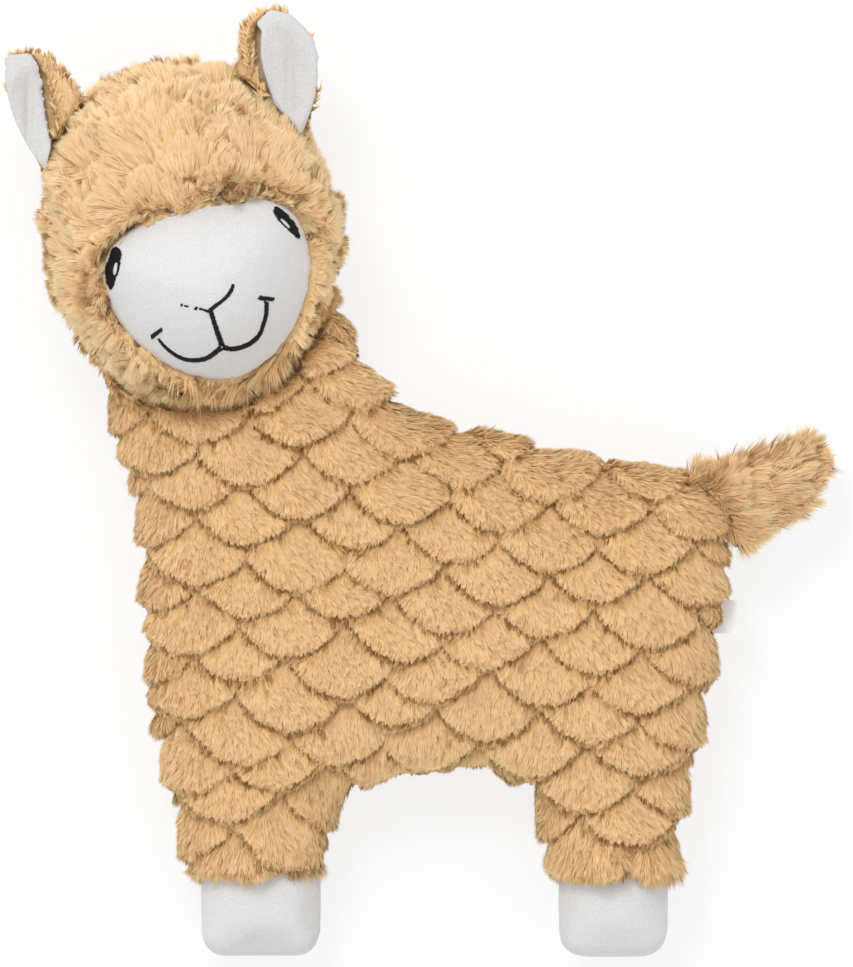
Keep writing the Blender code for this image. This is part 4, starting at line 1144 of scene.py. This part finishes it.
def stitched(name, ends, node):
    """One piece of many stitches, laid on the face."""
    share = np.linspace(0, 1, RINGS)[None, :, None]
    places = ends[:, None, 0] * (1 - share) + ends[:, None, 1] * share
    count = len(ends)
    centre, up = np.zeros((count, RINGS, 3)), np.zeros((count, RINGS, 3))
    for i, k in np.ndindex(count, RINGS):
        hit = face_tree.ray_cast(Vector((*places[i, k], OVER_FACE)), Vector((0, 0, -1)))
        if hit[0] is None:
            hit = face_tree.find_nearest(Vector((*places[i, k], NEAR_FACE)))
        up[i, k] = hit[1]
        centre[i, k] = np.array(hit[0]) + up[i, k] * THREAD_RISE[k]
    along = centre[:, -1:] - centre[:, :1]
    along = along / np.linalg.norm(along, axis=2, keepdims=True)
    aside = np.cross(np.broadcast_to(along, up.shape), up)
    turn = np.arange(SIDES)[:, None] * 2 * math.pi / SIDES
    ring = aside[:, :, None] * np.cos(turn) + up[:, :, None] * np.sin(turn)
    points = (centre[:, :, None] + ring * THREAD_THICK[None, :, None, None]).reshape(-1, 3)
    faces = []
    for first in range(0, count * RINGS * SIDES, RINGS * SIDES):
        for k, t in np.ndindex(RINGS - 1, SIDES):
            a, b = first + k * SIDES + t, first + k * SIDES + (t + 1) % SIDES
            faces.append((a, b, b + SIDES, a + SIDES))
        faces.append(tuple(range(first + SIDES - 1, first - 1, -1)))
        faces.append(tuple(range(first + (RINGS - 1) * SIDES, first + RINGS * SIDES)))
    mesh = bpy.data.meshes.new(name)
    mesh.from_pydata(points.tolist(), [], faces)
    piece = bpy.data.objects.new(name, mesh)
    bpy.context.scene.collection.objects.link(piece)
    edit_all(piece, bpy.ops.mesh.normals_make_consistent, inside=False)
    piece.data.shade_smooth()
    dress(piece, black_thread, [node])
    print(name, "stitches:", count)


# %% The eyes
EYES = {
    "left": [
        (117.4, 247.8), (121.2, 249.6), (123.6, 253.1), (123.2, 258.8), (121.6, 264.4), (120.2, 270.0),
        (118.2, 277.5), (116.2, 283.8), (113.2, 289.4), (111.0, 290.2), (108.8, 286.8), (106.2, 283.6),
        (105.0, 277.0), (104.6, 269.0), (105.2, 265.4), (107.4, 262.0), (107.8, 257.0), (110.4, 251.3),
        (113.6, 248.4)],
    "right": [
        (275.2, 207.2), (279.0, 208.2), (282.6, 210.2), (286.8, 213.2), (290.2, 215.4), (291.8, 219.2),
        (295.6, 222.5), (296.8, 226.4), (299.4, 229.0), (299.6, 232.4), (301.4, 236.4), (299.6, 239.4),
        (296.4, 238.0), (287.8, 230.6), (281.2, 223.6), (274.8, 217.4), (273.2, 212.4)]}
GLINTS = {"left": ((116.6, 269.4), (-0.95, 6.3), 1.6), "right": ((285.4, 224.3), (4.6, 4.7), 1.5)}
for side, seed in (("left", 81), ("right", 82)):
    stitched(f"eye_{side}_satin", stitches_filling(EYES[side], GLINTS[side], seed), f"eye_{side}")

# %% The nose and the mouth
NOSE = [
    ([(211, 310), (215, 323), (219, 335), (223, 347)], [4.6, 4.6, 5.2, 5.8]),
    ([(210, 312), (217, 306), (224, 301), (230, 295), (233.5, 288), (234.5, 284)],
     [4.2, 3.8, 3.2, 3.6, 3.6, 2.6]),
    ([(210, 312.5), (204, 310), (199, 309.3)], [3.0, 1.8, 2.2]),
    ([(198.6, 309.6), (194.6, 308.6)], [3.4, 3.4]),
    ([(190, 307.4), (184.4, 306.2)], [1.2, 1.6]),
    ([(184, 306), (181, 305.4)], [2.6, 2.6])]
MOUTH = [
    ([(159, 338.5), (163, 344.5), (170, 351), (176, 355.5), (184, 359.4), (192, 360.9), (199, 360.6),
      (207, 359), (213, 355.5), (219, 350.5), (222.5, 347.6)],
     [2.2, 2.8, 3.4, 3.6, 4.0, 4.2, 4.2, 4.6, 4.8, 5.0, 5.2]),
    ([(222.5, 347.8), (228, 349), (235, 349.5), (243, 347.5), (250, 344.5), (256, 340), (261, 334),
      (263.6, 326), (266.4, 317), (267.4, 310), (266.8, 301)],
     [5.4, 4.8, 4.8, 4.6, 4.6, 4.6, 4.2, 4.0, 4.0, 4.2, 4.2]),
    ([(151.8, 338), (164, 329)], [4.6, 3.4]),
    ([(258.6, 297.6), (264, 299.4), (269, 299.0), (275, 300.4)], [4.2, 4.6, 4.2, 4.2])]
for part, lines, seed in (("nose", NOSE, 83), ("mouth", MOUTH, 93)):
    stitches = [stitches_across(line, wide, seed + k) for k, (line, wide) in enumerate(lines)]
    stitched(f"{part}_satin", np.concatenate(stitches), f"{part}_embroidery")

# %% [markdown]
# The label is a folded tape with a woven face, left bare. The fillings are inside and are never seen, but
# they are pieces of the toy all the same, so they get the loose white look of polyester stuffing.

# %% Label and fillings
nodes["side_label"].data.materials.clear()
nodes["side_label"].data.materials.append(white_tape)
for node in ("body_filling", "head_filling", "foot_front_filling", "foot_rear_filling"):
    stuffing = soft_skin(node.replace("filling", "stuffing"), [node], 0.0030, 4, 0.0050)
    dress(stuffing, stuffing_fibre, [node])
